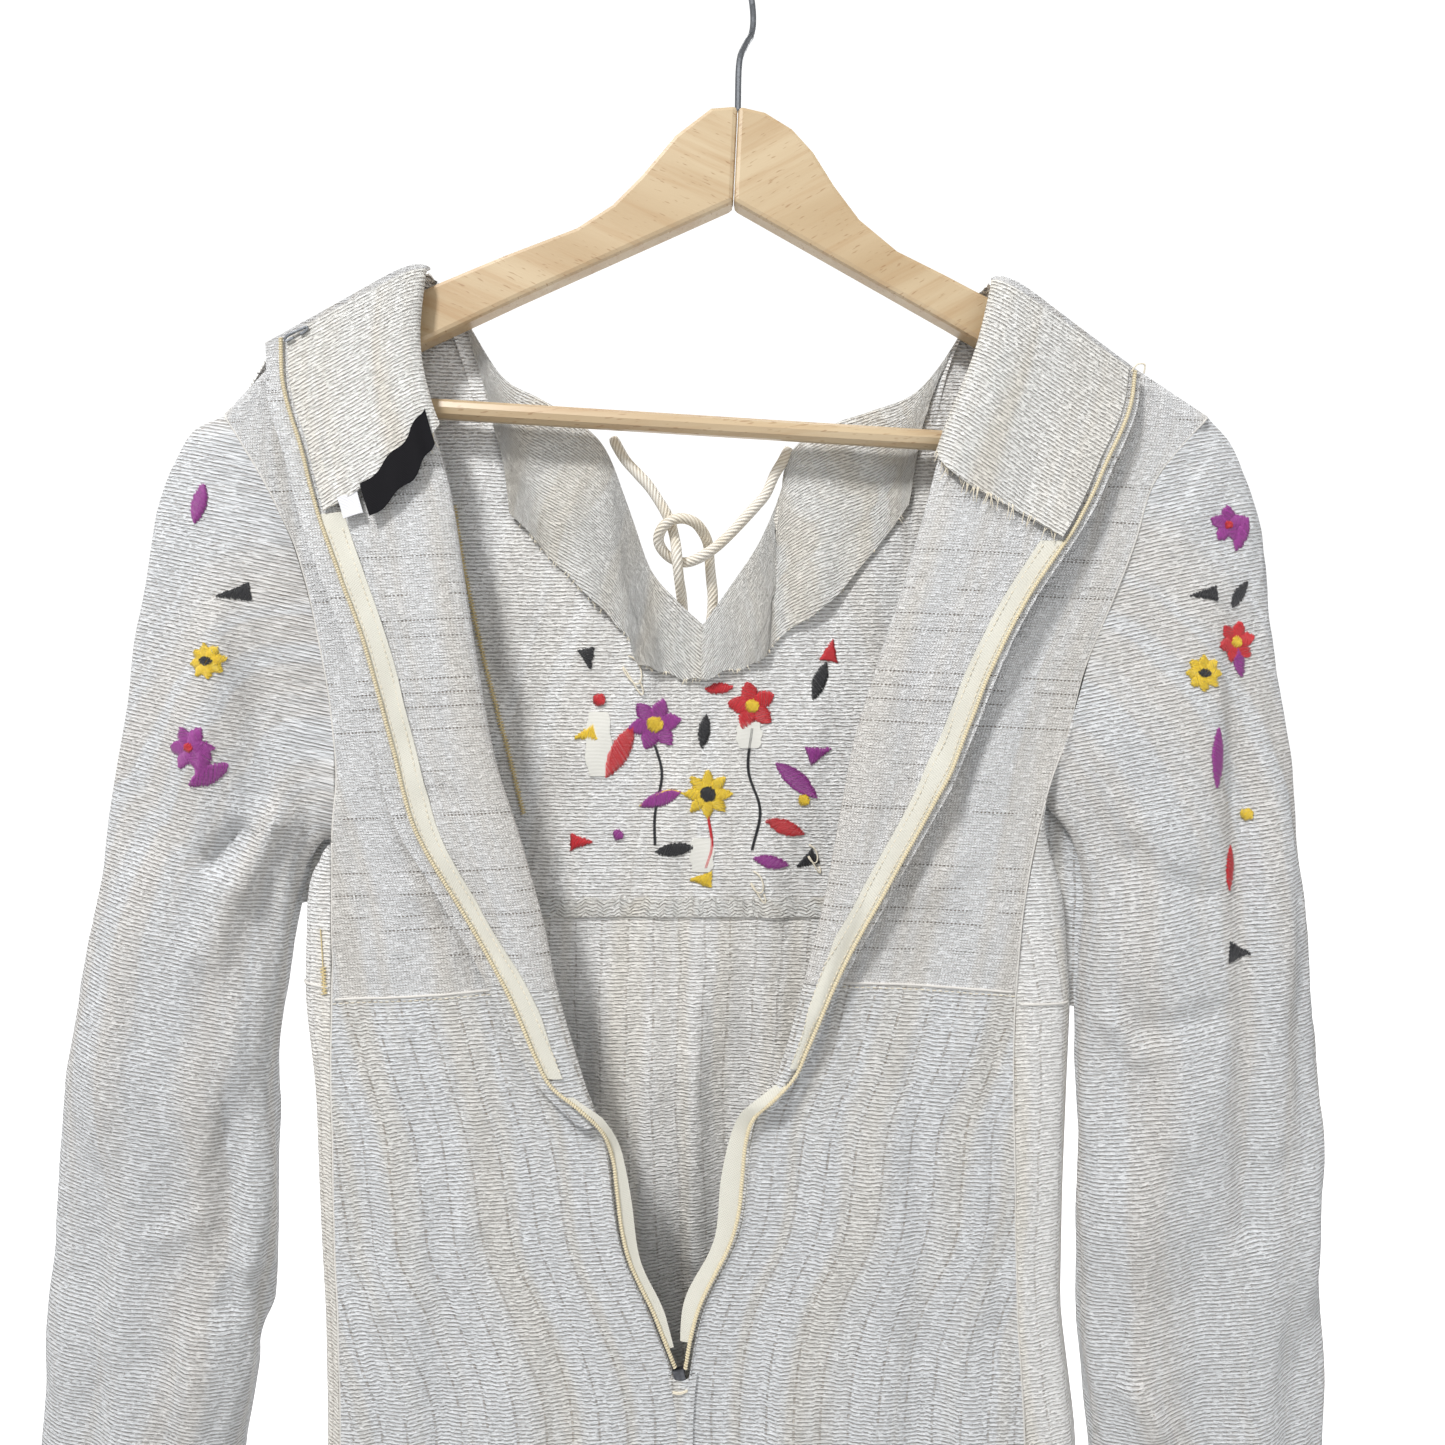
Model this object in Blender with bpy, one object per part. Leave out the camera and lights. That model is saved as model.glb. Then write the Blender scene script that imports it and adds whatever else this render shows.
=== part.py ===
"""A handwoven cotton tunic shirt, seen from its back on a beech hanger, with the back zip open.

The back halves are turned out like lapels, so their wrong side and the inside of the front show.
X runs across, Z up and Y away from the side that shows. The origin is where the hook hangs.
Lengths in the tables are millimetres.
"""

import math
from collections import namedtuple

import bmesh
import bpy
import numpy as np

MM = 0.001
CLOTH = 1.5  # wall of the slubby cotton
SEAM_GAP = 0.3
TRIM = 1.0  # wall of tapes, facings and labels
LAYER = CLOTH / 2 + TRIM / 2 + SEAM_GAP  # from a panel's middle to the middle of what lies on it
COIL = 2.4
TIE = 5.6
TAPE_WIDTH = 13.0
CREST_DROP = 10.0  # height over which the cloth rounds the top of the hanger
SHOULDER_ROOM = 8.6  # half depth of the shoulder, outside the hanger's arm
WOOD_HALF = 6.0
ARM_HEIGHT = 21.0
CENTRE_HEIGHT = 46.0
BAR_RADIUS = 4.8
HOOK_WIRE = 3.2
HOOK_RADIUS = 17.0
HOOK_TURN = math.radians(65)  # the hook's plane about the vertical, from the hanger's own plane

LEFT, RIGHT = 1, -1  # the way from a half's side seam to the centre, along X
YOKE_SEAM_ROW = 9.0
LAPEL_END_ROW = 10.72
ZIP_END_ROW = 14.0
NECK_ROW = 0.12  # where the zip starts, just below the neck's edge
LEFT_COIL_END, RIGHT_COIL_END = 13.52, 13.565  # where each coil meets the slider
TAPE_END_ROW = 10.0
FACING_CLEAR = 3.0  # from the middle of a zip coil to the edge of the neck facing

# One row for each section of a back half, from the shoulder seam to the hem. Each pair is a place
# across and a height: of the armhole or side seam, the middle of the panel, the line where the
# half turns out, and the outer edge of what is turned out. out_y is the depth of the turned cloth.
HalfRow = namedtuple("HalfRow", "side_x side_z mid_x mid_z roll_x roll_z edge_x edge_z back_y out_y")
LEFT_HALF = [
    HalfRow(-244, -218, -195, -167, -147, -149, -221, -188, -8.8, -15.0),
    HalfRow(-233, -235, -189, -208, -150, -186, -219, -214, -9.2, -16.5),
    HalfRow(-220, -258, -183, -240, -145, -220, -211, -241, -9.4, -17.0),
    HalfRow(-207, -288, -176, -275, -135, -257, -204, -267, -9.6, -17.5),
    HalfRow(-198, -324, -166, -311, -129, -294, -193, -297, -9.8, -18.5),
    HalfRow(-192, -357, -159, -346, -122, -339, -181, -328, -10.0, -18.5),
    HalfRow(-189, -390, -154, -383, -114, -382, -170, -368, -10.5, -18.5),
    HalfRow(-191, -422, -148, -421, -102, -420, -159, -411, -11.0, -18.5),
    HalfRow(-191, -459, -141, -458, -91, -460, -139, -446, -11.0, -18.5),
    HalfRow(-191, -496, -138, -493, -85, -490, -117, -487, -11.0, -18.0),
    HalfRow(-191, -534, -133, -534, -73, -531, -97, -529, -11.5, -17.5),
    HalfRow(-190, -567, -129, -567, -62, -564, -68, -563, -12.0, -16.0),
    HalfRow(-189, -614, -126, -614, -55, -611, -55, -610, -12.5, -15.5),
    HalfRow(-187, -647, -122, -647, -40, -646, -40, -645, -12.5, -15.0),
    HalfRow(-186, -690, -112, -689, -26.6, -688, -26, -688, -12.5, -14.5),
    HalfRow(-187, -745, -112, -748, -25.8, -750, -25, -750, -13.0, -14.5),
    HalfRow(-190, -815, -114, -822, -25.0, -826, -24, -826, -14.0, -15.0),
    HalfRow(-193, -910, -116, -912, -24.3, -914, -23, -914, -15.0, -15.5),
]
RIGHT_HALF = [
    HalfRow(224, -219, 172, -184, 121, -154, 188, -202, -8.8, -15.0),
    HalfRow(208, -236, 160, -213, 112, -191, 185, -221, -9.2, -16.5),
    HalfRow(195, -254, 149, -239, 98, -228, 174, -246, -9.4, -17.5),
    HalfRow(186, -282, 140, -275, 88, -265, 162, -271, -9.6, -18.0),
    HalfRow(175, -310, 129, -308, 76, -306, 138, -307, -9.8, -18.5),
    HalfRow(164, -338, 117, -339, 65, -339, 122, -337, -10.0, -18.5),
    HalfRow(155, -371, 107, -372, 55, -372, 108, -372, -10.5, -18.5),
    HalfRow(144, -402, 97, -403, 49, -402, 95, -401, -11.0, -18.5),
    HalfRow(134, -449, 90, -449, 41, -446, 71, -444, -11.0, -18.0),
    HalfRow(130, -492, 83, -489, 31, -487, 48, -487, -11.0, -17.5),
    HalfRow(129, -528, 76, -527, 20, -526, 31, -525, -11.5, -17.0),
    HalfRow(129, -558, 69, -557, 7, -556, 11, -555, -12.0, -16.0),
    HalfRow(130, -605, 66, -604, 1, -602, 1, -601, -12.5, -15.5),
    HalfRow(131, -645, 59, -645, -17, -642, -17, -641, -12.5, -15.0),
    HalfRow(133, -690, 53, -690, -24.2, -688, -25, -688, -12.5, -14.5),
    HalfRow(135, -745, 54, -748, -23.4, -750, -24, -750, -13.0, -14.5),
    HalfRow(138, -815, 55, -822, -22.6, -826, -23, -826, -14.0, -15.0),
    HalfRow(141, -910, 57, -912, -21.9, -914, -22, -914, -15.0, -15.5),
]
ARMPIT_ROW = 7
LEFT_STRIP, RIGHT_STRIP = 9.0, 4.0  # cloth that shows beyond each side's zip coil

# The top border of the front: shoulder seams, scooped neck and the slit at its centre, with the
# place across that each column reaches at the hem, and the facing's height below the border.
BorderPoint = namedtuple("BorderPoint", "x z y hem_x facing")
FRONT_BORDER = [
    BorderPoint(-244, -218, 0.6, -201, 0),
    BorderPoint(-220, -180, 0.6, -186, 0),
    BorderPoint(-195, -167, 0.6, -170, 0),
    BorderPoint(-170, -157, 0.6, -154, 0),
    BorderPoint(-150, -149, 1.2, -138, 0),
    BorderPoint(-144, -155, 8.2, -130, 103),
    BorderPoint(-134, -168, 9.8, -121, 95),
    BorderPoint(-116, -196, 10.2, -106, 81),
    BorderPoint(-97, -207, 10.5, -90, 87),
    BorderPoint(-80, -217, 11.5, -74, 95),
    BorderPoint(-66, -230, 12.5, -60, 91),
    BorderPoint(-56, -254, 13.5, -50, 80),
    BorderPoint(-44, -288, 15.0, -40, 52),
    BorderPoint(-30, -305, 15.5, -30, 38),
    BorderPoint(-17, -317, 16.0, -19, 25),
    BorderPoint(-4, -299, 15.5, -8, 41),
    BorderPoint(12, -275, 14.5, 6, 63),
    BorderPoint(24, -247, 13.5, 18, 83),
    BorderPoint(29, -230, 12.5, 30, 98),
    BorderPoint(48, -219, 11.5, 46, 97),
    BorderPoint(66, -213, 10.5, 62, 90),
    BorderPoint(88, -204, 10.2, 80, 74),
    BorderPoint(106, -182, 10.0, 96, 78),
    BorderPoint(116.5, -160.5, 8.0, 105, 103),
    BorderPoint(122, -154, 1.2, 113, 0),
    BorderPoint(146, -168, 0.6, 128, 0),
    BorderPoint(172, -184, 0.6, 142, 0),
    BorderPoint(200, -201, 0.6, 157, 0),
    BorderPoint(224, -219, 0.6, 172, 0),
]
# The outline's own sides, where the front shows beyond the back's side seams.
EdgePoint = namedtuple("EdgePoint", "left_x right_x z")
BODY_EDGE = [
    EdgePoint(-201, 150, -428),
    EdgePoint(-207.5, 157, -443),
    EdgePoint(-209, 161, -496),
    EdgePoint(-203, 159, -540),
    EdgePoint(-201, 157, -592),
    EdgePoint(-198, 156, -648),
    EdgePoint(-197, 163, -705),
    EdgePoint(-200, 166, -780),
    EdgePoint(-205, 170, -902),
]
FRONT_SEAM_Z = -463.0
FRONT_HEM_Z = -914.0

# One row for each ring of a sleeve below its armhole: the outer and the inner side as they hang,
# half the depth, the depth of its middle, and how far a crease dents the side that shows.
SleeveRing = namedtuple("SleeveRing", "out_x out_z in_x in_z half_depth middle_y dent")
LEFT_SLEEVE = [
    SleeveRing(-263, -229, -199, -421, 13.0, 0.0, 0.0),
    SleeveRing(-277, -262, -205, -427, 18.0, 0.5, 1.5),
    SleeveRing(-285, -310, -210, -437, 21.0, 1.0, 4.0),
    SleeveRing(-295, -376, -213.5, -457, 22.0, 1.5, 5.0),
    SleeveRing(-307, -451, -218, -495, 23.0, 2.0, 2.0),
    SleeveRing(-318, -520, -228, -545, 22.0, 2.0, -2.0),
    SleeveRing(-325, -595, -226, -602, 20.0, 2.5, 2.5),
    SleeveRing(-329, -660, -230, -662, 19.0, 3.0, -1.0),
    SleeveRing(-335, -722, -241, -724, 18.0, 3.0, 2.0),
    SleeveRing(-343, -808, -256, -806, 17.0, 4.0, 0.0),
]
RIGHT_SLEEVE = [
    SleeveRing(236, -233, 150, -405, 13.0, 0.0, 0.0),
    SleeveRing(247, -264, 156, -412, 18.0, 0.5, 2.0),
    SleeveRing(254, -310, 161, -422, 21.0, 1.0, 5.0),
    SleeveRing(261, -374, 164.5, -441, 22.0, 1.5, 3.0),
    SleeveRing(270, -451, 165, -478, 23.0, 2.0, -2.0),
    SleeveRing(276, -523, 165, -530, 22.0, 2.0, 3.0),
    SleeveRing(279, -595, 164, -595, 20.0, 2.5, -2.5),
    SleeveRing(280, -657, 165, -657, 19.0, 3.0, 2.5),
    SleeveRing(280, -722, 172, -722, 18.0, 3.0, -1.0),
    SleeveRing(277, -812, 180, -806, 17.0, 4.0, 0.0),
]

# Large soft folds. Each is a ridge of the given height and half width between two points of the
# outline plane; a negative height is a trough, away from the side that shows.
Fold = namedtuple("Fold", "x0 z0 x1 z1 width height")
BACK_FOLDS = [
    Fold(-150, -560, -158, -900, 13, 4.0),
    Fold(-105, -620, -112, -905, 15, 4.5),
    Fold(-62, -640, -70, -900, 12, 3.5),
    Fold(20, -640, 24, -905, 14, 4.0),
    Fold(62, -560, 70, -900, 15, 4.5),
    Fold(104, -600, 112, -900, 12, 4.0),
    Fold(-172, -330, -150, -440, 12, 2.5),
    Fold(128, -350, 100, -440, 12, 2.5),
]
FRONT_FOLDS = [
    Fold(-150, -480, -160, -905, 16, 6.0),
    Fold(-98, -500, -104, -905, 16, -6.0),
    Fold(-50, -470, -52, -905, 14, 6.5),
    Fold(-8, -480, -4, -905, 13, -6.0),
    Fold(36, -475, 42, -905, 14, 6.0),
    Fold(84, -500, 92, -905, 16, -6.0),
    Fold(128, -480, 136, -905, 15, 5.5),
    Fold(-170, -260, -120, -420, 14, -3.0),
    Fold(150, -270, 96, -420, 14, -3.0),
]

TIE_LEFT = [
    (-61.2, 12.3, -225.6), (-58.7, 11.8, -230.6), (-54.7, 11.2, -237.1), (-49.3, 10.8, -243.1),
    (-43.9, 10.6, -249.0), (-39.5, 10.6, -255.4), (-35.6, 10.9, -261.7), (-32.7, 11.2, -268.0),
    (-30.6, 9.6, -276.2), (-29.6, 7.9, -284.7), (-29.1, 8.8, -290.9), (-28.5, 11.6, -296.4),
    (-27.9, 16.2, -301.3), (-27.5, 20.8, -305.4), (-27.0, 24.0, -311.5), (-26.7, 25.2, -320.0),
    (-27.0, 25.4, -330.0), (-28.4, 26.8, -346.0), (-30.0, 28.8, -363.0), (-30.8, 30.6, -380.0),
    (-30.6, 32.2, -395.0),
]
TIE_RIGHT = [
    (25.2, 12.3, -230.6), (22.4, 11.9, -236.8), (18.2, 11.4, -243.8), (13.9, 11.0, -253.4),
    (9.0, 10.6, -259.3), (3.1, 10.3, -265.8), (-3.2, 10.0, -272.7), (-9.1, 9.9, -278.3),
    (-14.5, 10.2, -282.2), (-19.9, 11.8, -285.1), (-25.4, 13.6, -286.5), (-30.8, 14.2, -285.5),
    (-35.8, 13.0, -282.0), (-38.7, 10.2, -276.8), (-37.2, 6.6, -271.6), (-32.6, 4.8, -267.7),
    (-26.3, 4.4, -266.6), (-20.6, 5.9, -268.5), (-16.7, 10.0, -272.7), (-14.7, 14.9, -276.7),
    (-14.0, 18.2, -281.7), (-13.6, 19.6, -287.9), (-12.9, 20.6, -295.3), (-12.3, 21.6, -301.6),
    (-12.6, 22.8, -309.0), (-13.6, 23.8, -318.0), (-14.2, 24.6, -328.0), (-15.0, 26.0, -341.0),
    (-14.4, 28.0, -356.0), (-12.6, 30.0, -372.0), (-11.0, 32.0, -388.0), (-10.4, 33.8, -404.0),
]
TIE_POINTS = 46
COIL_POINTS = 46
HOOK_POINTS = 38


def clear_scene():
    for obj in list(bpy.data.objects):
        bpy.data.objects.remove(obj, do_unlink=True)


def finish(name, colour, roughness=0.9, metallic=0.0):
    material = bpy.data.materials.new(name)
    material.use_nodes = True
    shader = material.node_tree.nodes["Principled BSDF"]
    shader.inputs["Base Color"].default_value = (*colour, 1.0)
    shader.inputs["Roughness"].default_value = roughness
    shader.inputs["Metallic"].default_value = metallic
    return material


def spline(keys, at):
    """Reads a smooth curve through the keys, evenly numbered from 0, at one place."""
    keys = np.asarray(keys, float)
    last = len(keys) - 1
    i = min(int(at), last - 1)
    f = at - i
    before = keys[i - 1] if i > 0 else 2 * keys[0] - keys[1]
    after = keys[i + 2] if i + 2 <= last else 2 * keys[last] - keys[last - 1]
    start_slope = (keys[i + 1] - before) / 2
    end_slope = (after - keys[i]) / 2
    h = 2 * f**3 - 3 * f**2 + 1
    return (
        h * keys[i]
        + (f**3 - 2 * f**2 + f) * start_slope
        + (1 - h) * keys[i + 1]
        + (f**3 - f**2) * end_slope
    )


def along(points, count):
    """Evenly spaced points on a smooth curve through the given ones."""
    fine = np.array([spline(points, t) for t in np.linspace(0, len(points) - 1, 40 * len(points))])
    run = np.concatenate([[0], np.cumsum(np.linalg.norm(np.diff(fine, axis=0), axis=1))])
    places = np.linspace(0, run[-1], count)
    return np.stack([np.interp(places, run, fine[:, k]) for k in range(3)], axis=1)


def normals(grid, wraps=False):
    if wraps:
        down = np.gradient(grid, axis=0)
        across = (np.roll(grid, -1, axis=1) - np.roll(grid, 1, axis=1)) / 2
    else:
        down, across = np.gradient(grid, axis=(0, 1))
    found = np.cross(across, down)
    return found / np.maximum(np.linalg.norm(found, axis=2, keepdims=True), 1e-9)


def mesh_object(name, points, faces, material):
    mesh = bpy.data.meshes.new(name)
    mesh.from_pydata([tuple(p * MM) for p in points], [], faces)
    bm = bmesh.new()
    bm.from_mesh(mesh)
    bmesh.ops.recalc_face_normals(bm, faces=bm.faces)
    bm.to_mesh(mesh)
    bm.free()
    mesh.shade_smooth()
    mesh.set_sharp_from_angle(angle=math.radians(50))
    mesh.materials.append(material)
    obj = bpy.data.objects.new(name, mesh)
    bpy.context.scene.collection.objects.link(obj)
    return obj


def wall(name, grid, thickness, material, mask=None, wraps=False, facing=None):
    """A closed wall on a grid of middle points. mask tells which cells there are."""
    rows, cols = grid.shape[:2]
    facing = normals(grid, wraps) if facing is None else facing
    cells = [(i, j) for i in range(rows - 1) for j in range(cols if wraps else cols - 1)]
    if mask is not None:
        cells = [cell for cell in cells if mask(*cell)]
    points, faces, number, edges = [], [], {}, {}

    def corner(i, j):
        key = (i, j % cols)
        if key not in number:
            number[key] = len(points)
            points.append(grid[key] + facing[key] * thickness / 2)
            points.append(grid[key] - facing[key] * thickness / 2)
        return number[key]

    for i, j in cells:
        ring = [corner(i, j), corner(i, j + 1), corner(i + 1, j + 1), corner(i + 1, j)]
        faces.append(ring)
        faces.append([k + 1 for k in reversed(ring)])
        for a, b in zip(ring, ring[1:] + ring[:1]):
            if (b, a) in edges:
                del edges[(b, a)]
            else:
                edges[(a, b)] = True
    for a, b in edges:
        faces.append([b, a, a + 1, b + 1])
    return mesh_object(name, points, faces, material)


def tube(name, points, diameter, material, resolution=2):
    curve = bpy.data.curves.new(name, "CURVE")
    curve.dimensions = "3D"
    curve.bevel_depth = diameter / 2 * MM
    curve.bevel_resolution = resolution
    curve.use_fill_caps = True
    line = curve.splines.new("POLY")
    line.points.add(len(points) - 1)
    for place, point in zip(line.points, points):
        place.co = (*(np.asarray(point) * MM), 1.0)
    curve.materials.append(material)
    obj = bpy.data.objects.new(name, curve)
    bpy.context.scene.collection.objects.link(obj)
    return obj


def fold_height(folds, x, z):
    total = 0.0
    for fold in folds:
        run = np.array([fold.x1 - fold.x0, fold.z1 - fold.z0])
        length = np.linalg.norm(run)
        off = np.array([x - fold.x0, z - fold.z0])
        share = float(off @ run) / length**2
        across = abs(off[0] * run[1] - off[1] * run[0]) / length
        fade = min(max(share, 0.0), 1.0)
        ends = math.exp(-(((share - fade) * length / fold.width) ** 2))
        rise = min(1.0, 4 * fade + 0.15)
        total += fold.height * rise * ends * math.exp(-((across / fold.width) ** 2))
    return total


def crest(drop, room):
    """Half depth at this drop below a shoulder seam, round the top of the hanger."""
    share = min(max(drop / CREST_DROP, 0.0), 1.0)
    return room * math.sqrt(1 - (1 - share) ** 2)


def half_section(half, way, t):
    """The key points of one section of a back half, from its side seam to the turned edge."""
    row = HalfRow(*spline(half, t))
    top = HalfRow(*spline(half, 0))
    depth = crest(top.mid_z - row.mid_z, SHOULDER_ROOM) / SHOULDER_ROOM
    back_y = -0.6 + (row.back_y + 0.6) * depth
    turned = abs(row.edge_x - row.roll_x)
    reach = min(9.0, 0.35 * turned)
    near_edge = np.array([row.edge_x, row.out_y + 1.5, row.edge_z])
    roll_y = (row.back_y + row.out_y) / 2 * (0.35 + 0.65 * depth)
    begin = np.array([row.roll_x - way * reach, row.out_y - 1.0, row.roll_z])
    begin[2] += (row.edge_z - row.roll_z) * reach / max(turned, 1.0)
    middle = (begin + near_edge) / 2
    middle[1] = row.out_y
    return np.array([
        (row.side_x, back_y + 0.6 * depth, row.side_z),
        (row.mid_x, back_y, row.mid_z),
        (row.roll_x - way * 10.0, back_y, row.roll_z + 0.12 * (row.mid_z - row.roll_z)),
        (row.roll_x, roll_y, row.roll_z),
        begin,
        middle,
        near_edge,
    ])


KEY_SIDE, KEY_MID, KEY_NEAR, KEY_ROLL, KEY_BEGIN, KEY_EDGE = 0, 1, 2, 3, 4, 6


def half_point(half, way, t, s):
    """A point of a back half: t counts its sections and s its key points."""
    point = spline(half_section(half, way, t), s)
    if s < KEY_NEAR:
        fade = min(1.0, (KEY_NEAR - s) * 2)
        point[1] -= fade * fold_height(BACK_FOLDS, point[0], point[2])
    return point


def half_grid(half, way, rows, cols):
    return np.array([[half_point(half, way, t, s) for s in cols] for t in rows])


def panel_columns():
    side_to_mid = np.linspace(KEY_SIDE, KEY_MID, 5)[:-1]
    mid_to_roll = np.linspace(KEY_MID, KEY_NEAR, 5)[:-1]
    round_roll = np.linspace(KEY_NEAR, KEY_BEGIN, 7)[:-1]
    turned = np.linspace(KEY_BEGIN, KEY_EDGE, 6)
    return np.concatenate([side_to_mid, mid_to_roll, round_roll, turned])


def back_half(side, half, way, cloth):
    """The yoke and the skirt of one back half, with the part of each that is turned out."""
    cols = panel_columns()
    roll = int(np.argmin(abs(cols - KEY_ROLL)))
    top = [0, 0.07, 0.16, 0.3, 0.6]
    rows = np.concatenate([top, np.linspace(1, YOKE_SEAM_ROW, 13)])
    wall(f"back_yoke_{side}", half_grid(half, way, rows, cols), CLOTH, cloth)
    seam = SEAM_GAP / 38.0
    open_rows = np.linspace(YOKE_SEAM_ROW + seam, LAPEL_END_ROW, 4)
    low_rows = np.concatenate([np.linspace(11.2, ZIP_END_ROW, 5), np.linspace(14.8, 17, 5)])
    rows = np.concatenate([open_rows, low_rows])
    last_open = len(open_rows) - 1
    wall(f"back_skirt_{side}", half_grid(half, way, rows, cols), CLOTH, cloth,
         mask=lambda i, j: j < roll or i < last_open)


def edge_share(half, way, t, distance):
    """The place across, in key points, that lies this far inside the turned edge."""
    section = half_section(half, way, t)
    turned = np.linalg.norm(section[KEY_EDGE] - section[KEY_BEGIN])
    return KEY_EDGE - (KEY_EDGE - KEY_BEGIN) * min(distance / max(turned, 1.0), 0.98)


def raised(half, way, t, s, height):
    """A point above the wrong side of a back half."""
    step, last = 0.02, len(half) - 1
    down = half_point(half, way, min(t + step, last), s) - half_point(half, way, max(t - step, 0), s)
    across = half_point(half, way, t, min(s + step, KEY_EDGE)) - half_point(half, way, t, s - step)
    facing = way * np.cross(across, down)
    return half_point(half, way, t, s) + facing / np.linalg.norm(facing) * height


def coil_point(half, way, strip, t):
    on_cloth = raised(half, way, t, edge_share(half, way, t, strip), CLOTH / 2 + COIL / 2 + 0.35)
    roll = half_point(half, way, t, KEY_ROLL)
    on_edge = roll + np.array([way * 2.5, -1.3, 0.0])
    share = min(max((t - 10.1) / 1.0, 0.0), 1.0)
    share = share * share * (3 - 2 * share)
    lifted = on_cloth * (1 - share) + on_edge * share
    lifted[1] -= 3.2 * math.sin(math.pi * share)
    return lifted


def zip_side(side, half, way, strip, end_row, tape_row, tape, coil):
    """One side's coil, from the neck to the slider, and its tape, which the facing hides above."""
    route = [coil_point(half, way, strip, t) for t in np.linspace(NECK_ROW, end_row, 40)]
    tube(f"zip_coil_{side}", along(route, COIL_POINTS), COIL, coil, resolution=1)
    lines = []
    for t in np.linspace(tape_row, TAPE_END_ROW, 13):
        inner = edge_share(half, way, t, strip + 1.6 + TAPE_WIDTH)
        outer = edge_share(half, way, t, strip + 2.1)
        lines.append([raised(half, way, t, s, LAYER) for s in np.linspace(outer, inner, 4)])
    wall(f"zip_tape_{side}", np.array(lines), TRIM, tape)


def front_depth(z):
    """Depth of the front's middle, which bows away from the hanger."""
    heights = [-150, -230, -300, -400, -470, -560, -700, -914]
    depths = [8.6, 12.5, 16.0, 23.0, 27.0, 29.0, 31.0, 34.0]
    return float(np.interp(-z, [-h for h in heights], depths))


def front_side(t_z, left):
    """Where the front's own edge is at a height: the armhole, then the outline below it."""
    half = LEFT_HALF if left else RIGHT_HALF
    xs = [row.side_x for row in half[: ARMPIT_ROW + 1]]
    zs = [row.side_z for row in half[: ARMPIT_ROW + 1]]
    xs += [point.left_x if left else point.right_x for point in BODY_EDGE]
    zs += [point.z for point in BODY_EDGE]
    return float(np.interp(-t_z, [-z for z in zs], xs))


def border_at(c):
    i = min(int(c), len(FRONT_BORDER) - 2)
    f = c - i
    return [a + (b - a) * f for a, b in zip(FRONT_BORDER[i], FRONT_BORDER[i + 1])]


def front_point(c, t):
    """A point of the front: c counts its border points and t runs from the border to the hem."""
    x0, z0, y0, hem_x, _ = border_at(c)
    z = z0 + (FRONT_HEM_Z - z0) * t
    x = x0 + (hem_x - x0) * t
    share = c / (len(FRONT_BORDER) - 1)
    left0, right0 = FRONT_BORDER[0], FRONT_BORDER[-1]
    left_z = left0.z + (FRONT_HEM_Z - left0.z) * t
    left_line = left0.x + (left0.hem_x - left0.x) * t
    right_line = right0.x + (right0.hem_x - right0.x) * t
    x += (1 - share) ** 2 * (front_side(left_z, True) - left_line)
    x += share**2 * (front_side(left_z, False) - right_line)
    bow = 1 - abs(2 * share - 1) ** 5
    side_y = 8.6 - 3.0 * min(1.0, 3 * t)
    middle = side_y + (front_depth(z) - side_y) * bow
    drop = min((z0 - z) / CREST_DROP, 1.0)
    y = y0 + (middle - y0) * math.sqrt(max(0.0, 1 - (1 - drop) ** 2))
    if y0 > 5:
        y = y0 + (middle - y0) * min(1.0, (z0 - z) / 60)
    fade = min(1.0, 8 * share, 8 * (1 - share))
    y -= fade * min(1.0, (z0 - z) / 30) * fold_height(FRONT_FOLDS, x, z)
    return np.array([x, y, z])


def seam_share(c):
    z0 = border_at(c)[1]
    return (FRONT_SEAM_Z - z0) / (FRONT_HEM_Z - z0)


# How the front wraps round to the back's side seam: the share of the way there, and the depth.
WRAP = [(0.62, -8.8), (0.2, -4.0)]
WRAP_GAP = 0.9  # from a wrapped edge to the back's edge, middle to middle


def wrap_points(edge, half):
    heights = [-row.side_z for row in half]
    seam_x = float(np.interp(-edge[2], heights, [row.side_x for row in half]))
    seam_y = float(np.interp(-edge[2], heights, [row.back_y for row in half])) + 0.6
    room = seam_x - edge[0]
    met = [np.array([seam_x - math.copysign(WRAP_GAP, room), seam_y, edge[2]])]
    return met + [np.array([edge[0] + room * share, depth, edge[2]]) for share, depth in WRAP]


def front_row(c_values, t_of):
    row = [front_point(c, t_of(c)) for c in c_values]
    left = wrap_points(row[0], LEFT_HALF)
    right = wrap_points(row[-1], RIGHT_HALF)
    return left + row + right[::-1]


# The front yoke's rows, as shares of the way from its border to its seam. Below the armpits, from
# 0.83 at the right and 0.88 at the left, they wrap round to the back.
YOKE_SHARES = [
    0.0, 0.012, 0.035, 0.08, 0.16, 0.26, 0.36, 0.46, 0.56, 0.66, 0.75, 0.83, 0.88, 0.94, 1.0,
]


def front(cloth):
    """The front's yoke and skirt, each wrapping round to the back's side seams."""
    cols = range(len(FRONT_BORDER))
    extra = len(WRAP) + 1
    last = extra + len(cols) - 1
    grid = np.array([front_row(cols, lambda c, f=f: f * seam_share(c)) for f in YOKE_SHARES])
    under_left, under_right = YOKE_SHARES.index(0.88), YOKE_SHARES.index(0.83)
    wall("front_yoke", grid, CLOTH, cloth,
         mask=lambda i, j: extra <= j < last or i >= (under_left if j < extra else under_right))
    gap = SEAM_GAP / 450
    shares = np.linspace(gap, 1, 12)
    grid = np.array([
        front_row(cols, lambda c, f=f: seam_share(c) + f * (1 - seam_share(c))) for f in shares
    ])
    wall("front_skirt", grid, CLOTH, cloth)


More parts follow.
